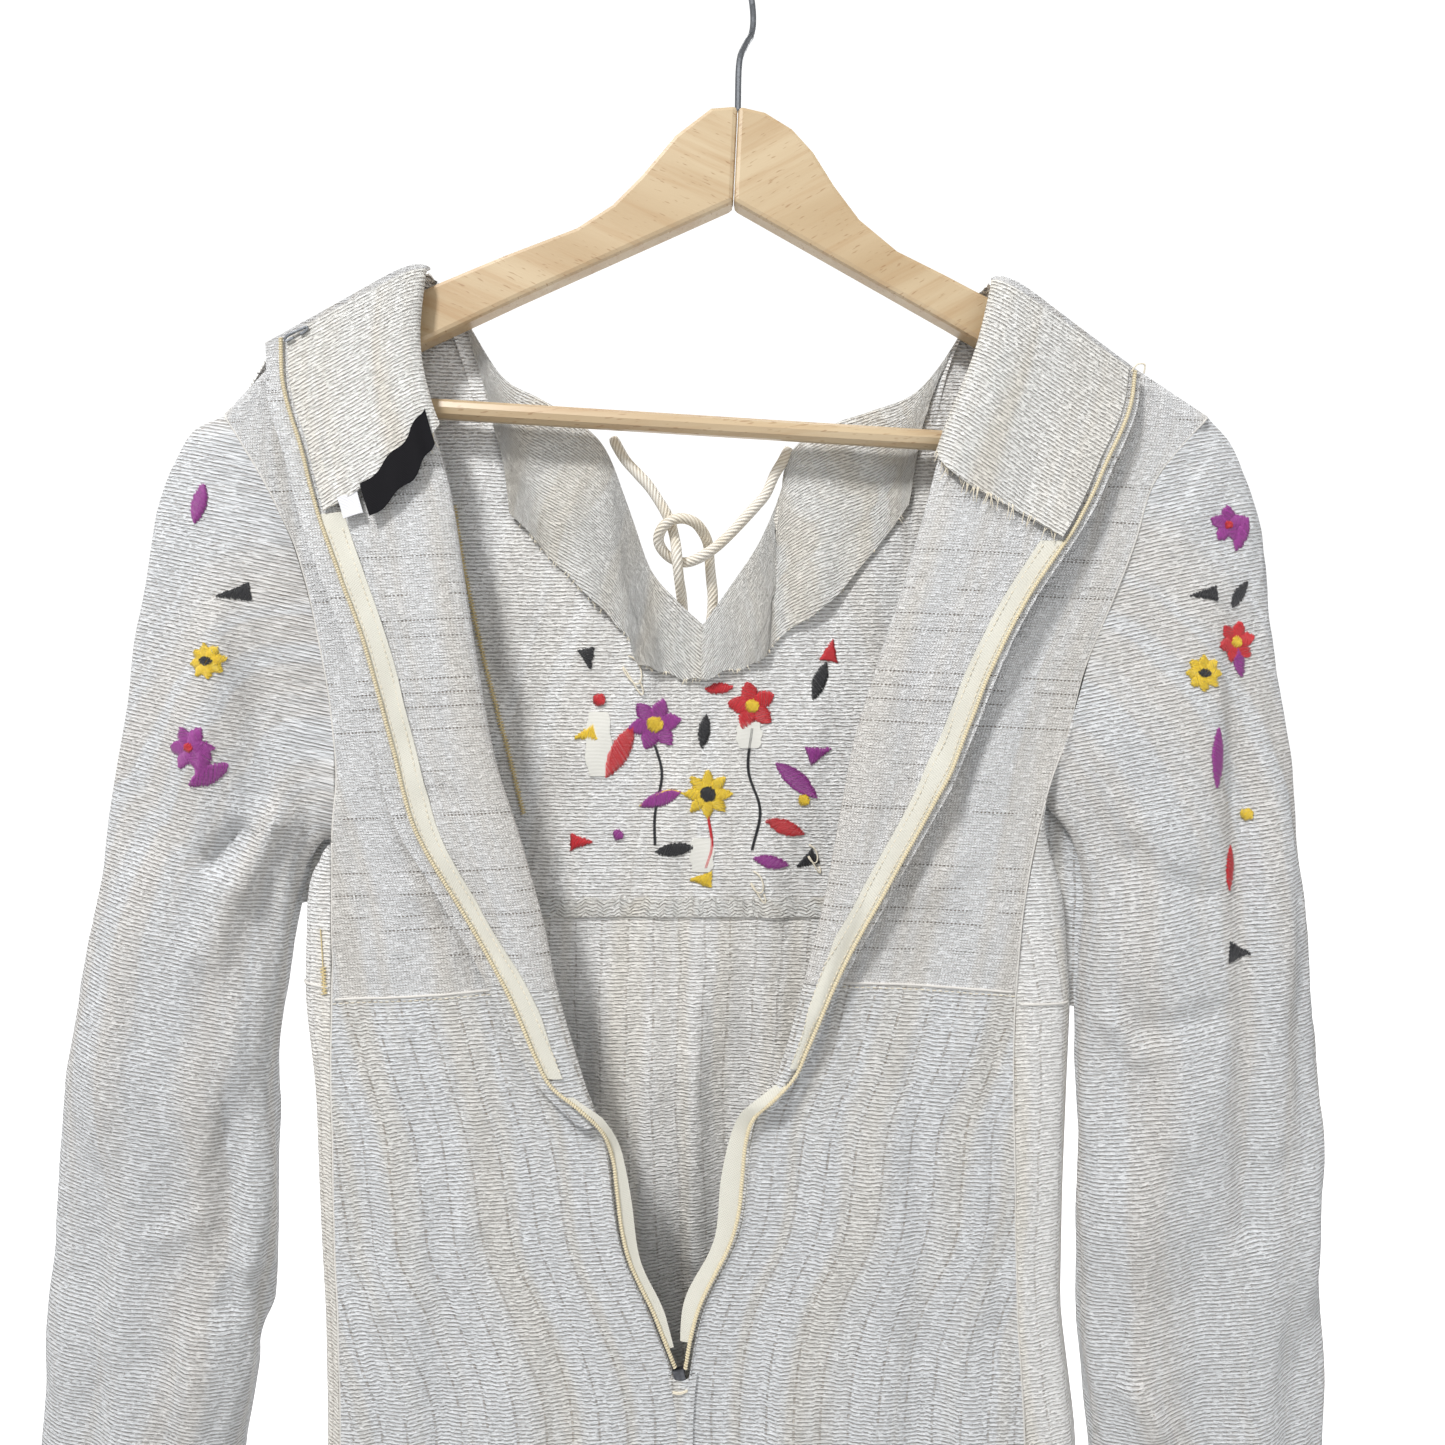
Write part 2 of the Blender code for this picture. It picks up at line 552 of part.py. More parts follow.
def front_facing(cloth):
    """The facing inside the front's neck, with its slit."""
    cols = np.linspace(6, 22, 33)
    grid = []
    for share in np.linspace(0, 1, 5):
        line = []
        for c in cols:
            x0, z0, _, _, drop = border_at(c)
            t = (0.4 + share * drop) / (z0 - FRONT_HEM_Z)
            line.append(front_point(c, t))
        grid.append(line)
    grid = np.array(grid)
    wall("front_neck_facing", grid - normals(grid) * (LAYER + 0.7), TRIM, cloth)


def seam_allowance(cloth):
    """The overlocked allowance of the front's yoke seam, on its inside."""
    cols = np.linspace(5.5, 22.5, 30)
    grid = []
    for rise in (9.0, 4.5, 0.0):
        line = []
        for c in cols:
            z0 = border_at(c)[1]
            line.append(front_point(c, seam_share(c) - rise / (z0 - FRONT_HEM_Z)))
        grid.append(line)
    grid = np.array(grid)
    wall("front_seam_allowance", grid - normals(grid) * (LAYER + 0.2), TRIM, cloth)


def neck_facing(side, half, way, drop_at_roll, drop_at_edge, strip, cloth):
    """A back neck facing, on the wrong side of the turned cloth."""
    grid = []
    for share in np.linspace(0, 1, 7):
        line = []
        for across in np.linspace(0, 1, 9):
            t_end = drop_at_roll + (drop_at_edge - drop_at_roll) * across
            t = 0.1 + share * (t_end - 0.1)
            edge = edge_share(half, way, t, strip + FACING_CLEAR)
            s = 3.7 + (edge - 3.7) * across
            line.append(raised(half, way, t, s, LAYER))
        grid.append(line)
    wall(f"back_neck_facing_{side}", np.array(grid), TRIM, cloth)


def sleeve(side, half, way, rings, cloth):
    """A sleeve as a flattened tube, from the armhole to a plain hemmed wrist."""
    quarter = 10
    count = 2 * quarter
    first = []
    for k in range(count):
        t = ARMPIT_ROW * (k if k <= quarter else count - k) / quarter
        point = half_point(half, way, t, KEY_SIDE)
        if k > quarter:
            point[1] = 1.2 - point[1]
        point[0] -= way * (CLOTH / 2 + 1.15)
        point[2] += 0.35 if k == 0 else 0.0
        first.append(point)
    first[0][1] = 0.0
    first[quarter][1] = 0.0
    keys = [np.array(first)]
    for ring in rings:
        outer = np.array([ring.out_x, ring.middle_y, ring.out_z])
        inner = np.array([ring.in_x, ring.middle_y, ring.in_z])
        line = []
        for k in range(count):
            angle = 2 * math.pi * k / count
            point = (outer + inner) / 2 + (outer - inner) / 2 * math.cos(angle)
            swell = math.copysign(abs(math.sin(angle)) ** 0.8, math.sin(angle))
            point[1] -= ring.half_depth * swell
            if k < quarter:
                point[1] += ring.dent * math.sin(2 * angle) ** 2
            line.append(point)
        keys.append(np.array(line))
    rows = np.concatenate([[0, 0.35, 0.7], np.linspace(1, len(rings), 15)])
    grid = np.array([spline(keys, t) for t in rows])
    wall(f"sleeve_{side}", grid, CLOTH, cloth, wraps=True)


ARM_TOP = {
    "left": [(-0.2, -72), (-13, -73), (-30, -86), (-46, -105), (-60, -119), (-77, -130),
             (-111, -143), (-141, -155.5), (-178, -172.5), (-212, -191)],
    "right": [(0.2, -72), (13, -75), (26, -83), (36, -94), (46, -110), (58, -126),
              (76, -141), (98, -152), (118, -162.5), (168, -190.5), (206, -215)],
}
MITRE_FOOT_X = {"left": -2.4, "right": -2.0}


def hanger_arm(side, wood):
    """One arm: its outline, extruded through the wood's thickness with eased edges."""
    top = ARM_TOP[side]
    way = -1 if side == "left" else 1
    tip = top[-1]
    slope = (tip[1] - top[-3][1]) / (tip[0] - top[-3][0])
    low_tip = (tip[0] - way * 4, tip[1] - ARM_HEIGHT)
    foot = (MITRE_FOOT_X[side], -72 - CENTRE_HEIGHT)
    rounded = (tip[0] + way * 4, tip[1] - ARM_HEIGHT / 2)
    middle = ((foot[0] + low_tip[0]) / 2, (foot[1] + low_tip[1]) / 2 + abs(slope) * 2)
    outline = top + [rounded, low_tip, middle, foot]
    bm = bmesh.new()
    corners = [bm.verts.new((x * MM, -WOOD_HALF * MM, z * MM)) for x, z in outline]
    face = bm.faces.new(corners)
    moved = bmesh.ops.extrude_face_region(bm, geom=[face])["geom"]
    lifted = [v for v in moved if isinstance(v, bmesh.types.BMVert)]
    bmesh.ops.translate(bm, verts=lifted, vec=(0, 2 * WOOD_HALF * MM, 0))
    bmesh.ops.recalc_face_normals(bm, faces=bm.faces)
    mesh = bpy.data.meshes.new(f"hanger_arm_{side}")
    bm.to_mesh(mesh)
    bm.free()
    mesh.materials.append(wood)
    obj = bpy.data.objects.new(f"hanger_arm_{side}", mesh)
    bpy.context.scene.collection.objects.link(obj)
    bevel = obj.modifiers.new("eased_edges", "BEVEL")
    bevel.width = 2.2 * MM
    bevel.segments = 2
    bevel.limit_method = "ANGLE"
    bevel.angle_limit = math.radians(50)
    return obj


def hanger(wood, steel):
    hanger_arm("left", wood)
    hanger_arm("right", wood)
    left_end, right_end = (-196.7, -1, -211.9), (193.9, -1, -236.4)
    tube("hanger_bar", [left_end, right_end], 2 * BAR_RADIUS, wood, 3)
    # The hook: a straight shank in the wood's top, then a bend over the hang point.
    turned = np.array([math.cos(HOOK_TURN), math.sin(HOOK_TURN)])
    radius = HOOK_RADIUS + HOOK_WIRE / 2
    centre_z = -HOOK_RADIUS
    route = [(0.0, -71.7), (0.3, -62.0), (0.9, -52.0), (3.0, -44.0), (8.0, -36.5)]
    for step in range(13):
        angle = math.radians(-50 + step * 19.0)
        route.append((radius * math.cos(angle), centre_z + radius * math.sin(angle)))
    line = [(across * turned[0], across * turned[1], z) for across, z in route]
    tube("hanger_hook", along(line, HOOK_POINTS), HOOK_WIRE, steel, 2)


def box_piece(name, centre, size, material, bevel=0.3, turn_y=0.0):
    mesh = bpy.data.meshes.new(name)
    bm = bmesh.new()
    bmesh.ops.create_cube(bm, size=1.0)
    bmesh.ops.scale(bm, vec=[side * MM for side in size], verts=bm.verts)
    bmesh.ops.bevel(bm, geom=bm.edges, offset=bevel * MM, segments=2, affect="EDGES", profile=0.6)
    bm.to_mesh(mesh)
    bm.free()
    mesh.materials.append(material)
    obj = bpy.data.objects.new(name, mesh)
    obj.location = [c * MM for c in centre]
    obj.rotation_euler = (0, turn_y, 0)
    bpy.context.scene.collection.objects.link(obj)
    return obj


SLIDER = (-27.3, -13.0, -672.0)
SLIDER_SIZE = (5.4, 3.2, 9.0)
PULL_SIZE = (4.2, 1.0, 16.0)
PULL_AXIS_DROP = 0.6


def slider_and_pull(metal):
    """The zip's slider and its pull tab, which hangs on the inside behind the open edges."""
    box_piece("zip_slider", SLIDER, SLIDER_SIZE, metal, 0.8, math.radians(-12))
    x, y, z = SLIDER
    hinge_y = y + SLIDER_SIZE[1] / 2 + 0.5 + PULL_SIZE[1] / 2
    drop = PULL_SIZE[2] / 2 - PULL_AXIS_DROP
    box_piece("zip_pull", (x, hinge_y, z - drop), PULL_SIZE, metal, 0.3)


def surface_patch(name, half, way, t0, t1, s0, s1, lean, height, material, rows=4, cols=7):
    """A patch on the turned cloth. It lies lean sections lower at its outer end."""
    grid = [
        [raised(half, way, t + lean * k / (cols - 1), s, height)
         for k, s in enumerate(np.linspace(s0, s1, cols))]
        for t in np.linspace(t0, t1, rows)
    ]
    return wall(name, np.array(grid), 0.8, material)


def labels(black, white):
    """The bare woven neck label, along the left facing's lower edge, and a small bare size tab."""
    second = LAYER + TRIM / 2 + SEAM_GAP + 0.4
    surface_patch("neck_label", LEFT_HALF, LEFT, 1.75, 2.4, 3.52, 4.92, 0.84, second, black)
    surface_patch("size_tab", LEFT_HALF, LEFT, 2.88, 3.2, 5.0, 5.34, 0.06, second, white, 3, 3)


HOOK_LIFT, EYE_LIFT = 1.0, 2.2  # above the facing and above the cloth


def hook_and_eye(metal, thread):
    """The neck's wire hook at the left corner and its thread eye at the right one."""
    base = raised(LEFT_HALF, LEFT, 0.2, 5.4, LAYER + TRIM / 2 + HOOK_LIFT)
    side = np.array([-1.0, 0.0, -0.45])
    side /= np.linalg.norm(side)
    up = np.array([0.4, 0.0, 0.9])
    shape = [(4.5, -1.6), (8.5, -1.6), (9.6, 0.0), (8.5, 1.6), (3.5, 1.6), (-0.5, 1.6), (-1.6, 0.2)]
    shape += [(-0.5, -1.2), (1.5, -1.2)]
    route = [base + side * a + up * b for a, b in shape]
    tube("neck_hook", along(route, 26), 0.9, metal, 1)
    base = raised(RIGHT_HALF, RIGHT, 0.05, 5.9, CLOTH / 2 + EYE_LIFT)
    loop = [(-2.5, 0, -1.5), (0, -1.2, 1.5), (3.0, -1.6, 1.2), (3.4, 0, -2.4)]
    route = [base + np.array(place) for place in loop]
    tube("neck_eye", along(route, 12), 0.8, thread, 1)


def ties(cloth):
    tube("tie_left", along(TIE_LEFT, TIE_POINTS), TIE, cloth, 2)
    tube("tie_right", along(TIE_RIGHT, TIE_POINTS), TIE, cloth, 2)


def main():
    clear_scene()
    cloth = finish("slubby_cotton", (0.78, 0.71, 0.61), 0.95)
    facing_cloth = finish("facing_cotton", (0.76, 0.68, 0.57), 0.95)
    tape = finish("zip_tape", (0.80, 0.72, 0.50), 0.85)
    coil = finish("nylon_coil", (0.76, 0.64, 0.38), 0.5)
    wood = finish("beech", (0.72, 0.50, 0.29), 0.45)
    steel = finish("hook_steel", (0.42, 0.43, 0.45), 0.3, 1.0)
    metal = finish("slider_metal", (0.12, 0.12, 0.13), 0.35, 1.0)
    black = finish("label_black", (0.010, 0.009, 0.012), 0.8)
    white = finish("tab_white", (0.80, 0.80, 0.82), 0.7)

    hanger(wood, steel)
    front(cloth)
    front_facing(facing_cloth)
    seam_allowance(facing_cloth)
    back_half("left", LEFT_HALF, LEFT, cloth)
    back_half("right", RIGHT_HALF, RIGHT, cloth)
    sleeve("left", LEFT_HALF, LEFT, LEFT_SLEEVE, cloth)
    sleeve("right", RIGHT_HALF, RIGHT, RIGHT_SLEEVE, cloth)
    neck_facing("left", LEFT_HALF, LEFT, 2.2, 3.1, LEFT_STRIP, facing_cloth)
    neck_facing("right", RIGHT_HALF, RIGHT, 2.3, 3.3, RIGHT_STRIP, facing_cloth)
    zip_side("left", LEFT_HALF, LEFT, LEFT_STRIP, LEFT_COIL_END, 3.13, tape, coil)
    zip_side("right", RIGHT_HALF, RIGHT, RIGHT_STRIP, RIGHT_COIL_END, 3.33, tape, coil)
    slider_and_pull(metal)
    labels(black, white)
    hook_and_eye(metal, coil)
    ties(cloth)


main()
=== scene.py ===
"""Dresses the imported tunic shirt: slubby cotton, zip, sewing, embroidery, hanger and stage.

The garment shows its back. Both back halves are turned out like lapels, so their wrong side and the
inside of the front show. Every panel follows its solid's own tables, sampled finely, with its soft
folds added. Lengths in the tables are millimetres, and X, Y and Z are those of the frame.
"""

import math
from collections import namedtuple
from functools import partial

import bmesh
import bpy
import numpy as np
from bpy.props import FloatProperty, FloatVectorProperty, PointerProperty
from mathutils import Matrix, Vector
from mathutils.bvhtree import BVHTree


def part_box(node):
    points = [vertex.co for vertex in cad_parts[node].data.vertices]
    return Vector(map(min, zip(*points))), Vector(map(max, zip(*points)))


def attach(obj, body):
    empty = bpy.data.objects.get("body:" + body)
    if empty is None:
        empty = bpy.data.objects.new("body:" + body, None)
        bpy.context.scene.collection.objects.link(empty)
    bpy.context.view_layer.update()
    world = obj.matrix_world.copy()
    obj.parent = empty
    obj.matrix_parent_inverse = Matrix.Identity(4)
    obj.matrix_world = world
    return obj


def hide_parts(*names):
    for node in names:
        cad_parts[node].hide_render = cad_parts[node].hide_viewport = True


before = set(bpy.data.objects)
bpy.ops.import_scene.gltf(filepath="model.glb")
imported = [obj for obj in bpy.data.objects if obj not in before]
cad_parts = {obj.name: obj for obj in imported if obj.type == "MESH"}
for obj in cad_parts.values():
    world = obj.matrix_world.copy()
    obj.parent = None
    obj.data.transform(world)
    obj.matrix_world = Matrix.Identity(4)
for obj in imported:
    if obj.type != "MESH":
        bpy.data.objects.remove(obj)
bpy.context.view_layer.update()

bl_info = {
    "name": "Tunic shirt on a hanger",
    "version": (1, 0, 0),
    "blender": (4, 5, 0),
    "location": "3D View > Sidebar > Tunic",
    "description": "Dresses a handwoven cotton tunic and its beech hanger",
    "category": "Object",
}

MM = 0.001
CLOTH = 1.15  # thickness of the cotton, from which what lies on a panel is moved out
SEAM_GAP = 0.2
TRIM = 0.75
LAYER = CLOTH / 2 + TRIM / 2 + SEAM_GAP  # from a panel's middle to that of a trim on it
EDGE_LIFT = 4.5  # how far the turned-out edge stands off the back, as it casts the photo's shadow
FOLD_DEPTH = 1.5  # how much deeper the soft folds hang than their tables say
CRINKLE_DEPTH = 1.3
SLEEVE_DEPTH, SLEEVE_CRINKLE_DEPTH = 1.7, 1.4  # the same two of the sleeves
STITCH_LIFT = 0.2  # how far a stitch stands off the cloth
COIL = 2.4
TIE = 5.6
TAPE_WIDTH = 9.5
FACING_CLEAR = 3.0  # how far a neck facing stays from the zip's coil
CREST_DROP = 10.0  # height over which the cloth rounds the top of the hanger
SHOULDER_ROOM = 8.6
FRONT_SEAM_Z = -463.0
FRONT_HEM_Z = -914.0
LEFT_ARMPIT_Z, RIGHT_ARMPIT_Z = -424.0, -404.0
PICK_SLOPE = 0.05  # the back's picks rise a little towards the opening

# Rows down a back half, counted as its tables' rows are.
NECK_ROW = 0.12
ARMPIT_ROW = 7
YOKE_SEAM_ROW = 9.0
LAPEL_END_ROW = 10.72
CLOSED_ROW = 13.62
ROW_HEIGHT = 38.0  # of the rows below the empire seam
FACING_ENDS = {"left": (2.2, 3.1), "right": (2.3, 3.3)}  # at the roll and at the turned edge
# Key points across a back half, from its side seam to the turned edge.
KEY_MID, KEY_NEAR, KEY_ROLL, KEY_BEGIN, KEY_EDGE = 1, 2, 3, 4, 6
FACING_START = 3.12

# One row for each section of a back half, from the shoulder seam to the hem. Each pair is a place
# across and a height: of the armhole or side seam, the middle of the panel, the line where the
# half turns out, and the outer edge of what is turned out. out_y is the depth of the turned cloth.
HalfRow = namedtuple("HalfRow", "side_x side_z mid_x mid_z roll_x roll_z edge_x edge_z back_y out_y")
LEFT_HALF = [HalfRow(*row) for row in (
    (-244, -218, -195, -167, -147, -149, -221, -188, -8.8, -15.0),
    (-233, -235, -189, -208, -150, -186, -219, -214, -9.2, -16.5),
    (-220, -258, -183, -240, -145, -220, -211, -241, -9.4, -17.0),
    (-207, -288, -176, -275, -135, -257, -204, -267, -9.6, -17.5),
    (-198, -324, -166, -311, -129, -294, -193, -297, -9.8, -18.5),
    (-192, -357, -159, -346, -122, -339, -181, -328, -10.0, -18.5),
    (-189, -390, -154, -383, -114, -382, -170, -368, -10.5, -18.5),
    (-191, -422, -148, -421, -102, -420, -159, -411, -11.0, -18.5),
    (-191, -459, -141, -458, -91, -460, -139, -446, -11.0, -18.5),
    (-191, -496, -138, -493, -85, -490, -117, -487, -11.0, -18.0),
    (-191, -534, -133, -534, -73, -531, -97, -529, -11.5, -17.5),
    (-190, -567, -129, -567, -62, -564, -68, -563, -12.0, -16.0),
    (-189, -614, -126, -614, -55, -611, -55, -610, -12.5, -15.5),
    (-187, -647, -122, -647, -40, -646, -40, -645, -12.5, -15.0),
    (-186, -690, -112, -689, -26.6, -688, -26, -688, -12.5, -14.5),
    (-187, -745, -112, -748, -25.8, -750, -25, -750, -13.0, -14.5),
    (-190, -815, -114, -822, -25.0, -826, -24, -826, -14.0, -15.0),
    (-193, -910, -116, -912, -24.3, -914, -23, -914, -15.0, -15.5),
)]
RIGHT_HALF = [HalfRow(*row) for row in (
    (224, -219, 172, -184, 121, -154, 188, -202, -8.8, -15.0),
    (208, -236, 160, -213, 112, -191, 185, -221, -9.2, -16.5),
    (195, -254, 149, -239, 98, -228, 174, -246, -9.4, -17.5),
    (186, -282, 140, -275, 88, -265, 162, -271, -9.6, -18.0),
    (175, -310, 129, -308, 76, -306, 138, -307, -9.8, -18.5),
    (164, -338, 117, -339, 65, -339, 122, -337, -10.0, -18.5),
    (155, -371, 107, -372, 55, -372, 108, -372, -10.5, -18.5),
    (144, -402, 97, -403, 49, -402, 95, -401, -11.0, -18.5),
    (134, -449, 90, -449, 41, -446, 71, -444, -11.0, -18.0),
    (130, -492, 83, -489, 31, -487, 48, -487, -11.0, -17.5),
    (129, -528, 76, -527, 20, -526, 31, -525, -11.5, -17.0),
    (129, -558, 69, -557, 7, -556, 11, -555, -12.0, -16.0),
    (130, -605, 66, -604, 1, -602, 1, -601, -12.5, -15.5),
    (131, -645, 59, -645, -17, -642, -17, -641, -12.5, -15.0),
    (133, -690, 53, -690, -24.2, -688, -25, -688, -12.5, -14.5),
    (135, -745, 54, -748, -23.4, -750, -24, -750, -13.0, -14.5),
    (138, -815, 55, -822, -22.6, -826, -23, -826, -14.0, -15.0),
    (141, -910, 57, -912, -21.9, -914, -22, -914, -15.0, -15.5),
)]

# The top border of the front: shoulder seams, scooped neck and the slit at its centre, with the
# place across that each column reaches at the hem, and the facing's height below the border.
BorderPoint = namedtuple("BorderPoint", "x z y hem_x facing")
FRONT_BORDER = [BorderPoint(*row) for row in (
    (-244, -218, 0.6, -201, 0), (-220, -180, 0.6, -186, 0), (-195, -167, 0.6, -170, 0),
    (-170, -157, 0.6, -154, 0), (-150, -149, 1.2, -138, 0), (-144, -155, 8.2, -130, 103),
    (-134, -168, 9.8, -121, 95), (-116, -196, 10.2, -106, 81), (-97, -207, 10.5, -90, 87),
    (-80, -217, 11.5, -74, 95), (-66, -230, 12.5, -60, 91), (-56, -254, 13.5, -50, 80),
    (-44, -288, 15.0, -40, 52), (-30, -305, 15.5, -30, 38), (-17, -317, 16.0, -19, 25),
    (-4, -299, 15.5, -8, 41), (12, -275, 14.5, 6, 63), (24, -247, 13.5, 18, 83),
    (29, -230, 12.5, 30, 98), (48, -219, 11.5, 46, 97), (66, -213, 10.5, 62, 90),
    (88, -204, 10.2, 80, 74), (106, -182, 10.0, 96, 78), (116.5, -160.5, 8.0, 105, 103),
    (122, -154, 1.2, 113, 0), (146, -168, 0.6, 128, 0), (172, -184, 0.6, 142, 0),
    (200, -201, 0.6, 157, 0), (224, -219, 0.6, 172, 0),
)]
BORDER_CORNERS = (0, 4, 14, 24, 28)  # the shoulder points, the slit's foot and the outer ends
# The outline's own sides, where the front shows beyond the back's side seams.
EdgePoint = namedtuple("EdgePoint", "left_x right_x z")
BODY_EDGE = [EdgePoint(*row) for row in (
    (-201, 150, -428), (-207.5, 157, -443), (-209, 161, -496), (-203, 159, -540), (-201, 157, -592),
    (-198, 156, -648), (-197, 163, -705), (-200, 166, -780), (-205, 170, -902),
)]

# One row for each ring of a sleeve below its armhole: the outer and the inner side as they hang,
# half the depth, the depth of its middle, and how far a crease dents the side that shows.
SleeveRing = namedtuple("SleeveRing", "out_x out_z in_x in_z half_depth middle_y dent")
LEFT_SLEEVE = [SleeveRing(*row) for row in (
    (-263, -229, -199, -421, 13.0, 0.0, 0.0), (-277, -262, -205, -427, 18.0, 0.5, 1.5),
    (-285, -310, -210, -437, 21.0, 1.0, 4.0), (-295, -376, -213.5, -457, 22.0, 1.5, 5.0),
    (-307, -451, -218, -495, 23.0, 2.0, 2.0), (-318, -520, -228, -545, 22.0, 2.0, -2.0),
    (-325, -595, -226, -602, 20.0, 2.5, 2.5), (-329, -660, -230, -662, 19.0, 3.0, -1.0),
    (-335, -722, -241, -724, 18.0, 3.0, 2.0), (-343, -808, -256, -806, 17.0, 4.0, 0.0),
)]
RIGHT_SLEEVE = [SleeveRing(*row) for row in (
    (236, -233, 150, -405, 13.0, 0.0, 0.0), (247, -264, 156, -412, 18.0, 0.5, 2.0),
    (254, -310, 161, -422, 21.0, 1.0, 5.0), (261, -374, 164.5, -441, 22.0, 1.5, 3.0),
    (270, -451, 165, -478, 23.0, 2.0, -2.0), (276, -523, 165, -530, 22.0, 2.0, 3.0),
    (279, -595, 164, -595, 20.0, 2.5, -2.5), (280, -657, 165, -657, 19.0, 3.0, 2.5),
    (280, -722, 172, -722, 18.0, 3.0, -1.0), (277, -812, 180, -806, 17.0, 4.0, 0.0),
)]

# Large soft folds. Each is a ridge of the given height and half width between two points of the
# outline plane; a negative height is a trough, away from the side that shows.
Fold = namedtuple("Fold", "x0 z0 x1 z1 width height")
BACK_FOLDS = [Fold(*row) for row in (
    (-150, -560, -158, -900, 13, 4.0), (-105, -620, -112, -905, 15, 4.5),
    (-62, -640, -70, -900, 12, 3.5), (20, -640, 24, -905, 14, 4.0), (62, -560, 70, -900, 15, 4.5),
    (104, -600, 112, -900, 12, 4.0), (-172, -330, -150, -440, 12, 2.5),
    (128, -350, 100, -440, 12, 2.5),
)]
FRONT_FOLDS = [Fold(*row) for row in (
    (-150, -480, -160, -905, 16, 6.0), (-98, -500, -104, -905, 16, -6.0),
    (-50, -470, -52, -905, 14, 6.5), (-8, -480, -4, -905, 13, -6.0), (36, -475, 42, -905, 14, 6.0),
    (84, -500, 92, -905, 16, -6.0), (128, -480, 136, -905, 15, 5.5),
    (-170, -260, -120, -420, 14, -3.0), (150, -270, 96, -420, 14, -3.0),
)]

TIE_LEFT = [
    (-61.2, 12.3, -225.6), (-58.7, 11.8, -230.6), (-54.7, 11.2, -237.1), (-49.3, 10.8, -243.1),
    (-43.9, 10.6, -249.0), (-39.5, 10.6, -255.4), (-35.6, 10.9, -261.7), (-32.7, 11.2, -268.0),
    (-30.6, 9.6, -276.2), (-29.6, 7.9, -284.7), (-29.1, 8.8, -290.9), (-28.5, 11.6, -296.4),
    (-27.9, 16.2, -301.3), (-27.5, 20.8, -305.4), (-27.0, 24.0, -311.5), (-26.7, 25.2, -320.0),
    (-27.0, 25.4, -330.0), (-28.4, 26.8, -346.0), (-30.0, 28.8, -363.0), (-30.8, 30.6, -380.0),
    (-30.6, 32.2, -395.0),
]
TIE_RIGHT = [
    (25.2, 12.3, -230.6), (22.4, 11.9, -236.8), (18.2, 11.4, -243.8), (13.9, 11.0, -253.4),
    (9.0, 10.6, -259.3), (3.1, 10.3, -265.8), (-3.2, 10.0, -272.7), (-9.1, 9.9, -278.3),
    (-14.5, 10.2, -282.2), (-19.9, 11.8, -285.1), (-25.4, 13.6, -286.5), (-30.8, 14.2, -285.5),
    (-35.8, 13.0, -282.0), (-38.7, 10.2, -276.8), (-37.2, 6.6, -271.6), (-32.6, 4.8, -267.7),
    (-26.3, 4.4, -266.6), (-20.6, 5.9, -268.5), (-16.7, 10.0, -272.7), (-14.7, 14.9, -276.7),
    (-14.0, 18.2, -281.7), (-13.6, 19.6, -287.9), (-12.9, 20.6, -295.3), (-12.3, 21.6, -301.6),
    (-12.6, 22.8, -309.0), (-13.6, 23.8, -318.0), (-14.2, 24.6, -328.0), (-15.0, 26.0, -341.0),
    (-14.4, 28.0, -356.0), (-12.6, 30.0, -372.0), (-11.0, 32.0, -388.0), (-10.4, 33.8, -404.0),
]

# Soft creases that only show close to, one row each. Heights are towards the viewer.
BACK_CREASES = [Fold(*row) for row in (
    (-182, -300, -165, -420, 7, 1.4), (-176, -440, -120, -452, 5, 0.9),
    (-160, -510, -166, -640, 7, 1.6), (-139, -560, -141, -700, 8, -1.5),
    (-121, -500, -126, -600, 6, 1.2), (-176, -640, -178, -860, 6, 1.7), (-92, -640, -96, -820, 7, 1.5),
    (-78, -720, -82, -900, 6, -1.4), (-52, -740, -50, -880, 7, 1.3), (-33, -700, -40, -860, 5, 1.0),
    (-5, -680, -2, -840, 7, 1.5), (6, -560, 12, -690, 6, -1.2), (38, -540, 44, -660, 7, 1.4),
    (44, -700, 50, -900, 8, 1.8), (84, -510, 86, -660, 7, -1.3), (88, -690, 96, -880, 7, 1.6),
    (110, -480, 114, -640, 6, 1.5), (122, -660, 126, -880, 6, 1.4), (150, -300, 112, -360, 6, 1.2),
    (120, -420, 84, -446, 5, 0.8),
)]
LAPEL_CREASES = [Fold(*row) for row in (
    (-160, -300, -140, -350, 8, 1.2), (-150, -400, -118, -402, 7, -1.0),
    (-126, -425, -100, -470, 6, 1.0), (110, -310, 90, -350, 8, 1.2), (86, -345, 96, -395, 6, 1.5),
    (70, -400, 58, -440, 6, -1.1), (44, -455, 34, -500, 5, 1.0),
)]
FRONT_CREASES = [Fold(*row) for row in (
    (-66, -480, -72, -640, 7, 1.8), (-49, -500, -52, -700, 5, -1.6), (-22, -470, -20, -640, 6, 1.8),
    (4, -475, 6, -600, 6, -1.6), (22, -490, 20, -660, 5, 1.5), (-46, -318, -44, -345, 4, 1.5),
    (-90, -240, -70, -330, 9, 1.6), (-100, -300, -92, -440, 8, -1.2), (-30, -380, -38, -458, 7, 1.0),
    (58, -260, 40, -340, 9, -1.6), (70, -330, 56, -450, 8, 1.4), (12, -400, 18, -460, 7, 1.2),
    (-140, -600, -146, -860, 9, 2.0), (-120, -520, -122, -700, 7, -1.6),
    (-76, -700, -82, -890, 8, 1.8), (60, -560, 66, -820, 8, 1.8), (104, -540, 112, -800, 7, -1.8),
    (-150, -300, -110, -360, 8, -1.4), (120, -320, 84, -390, 8, 1.4),
)]

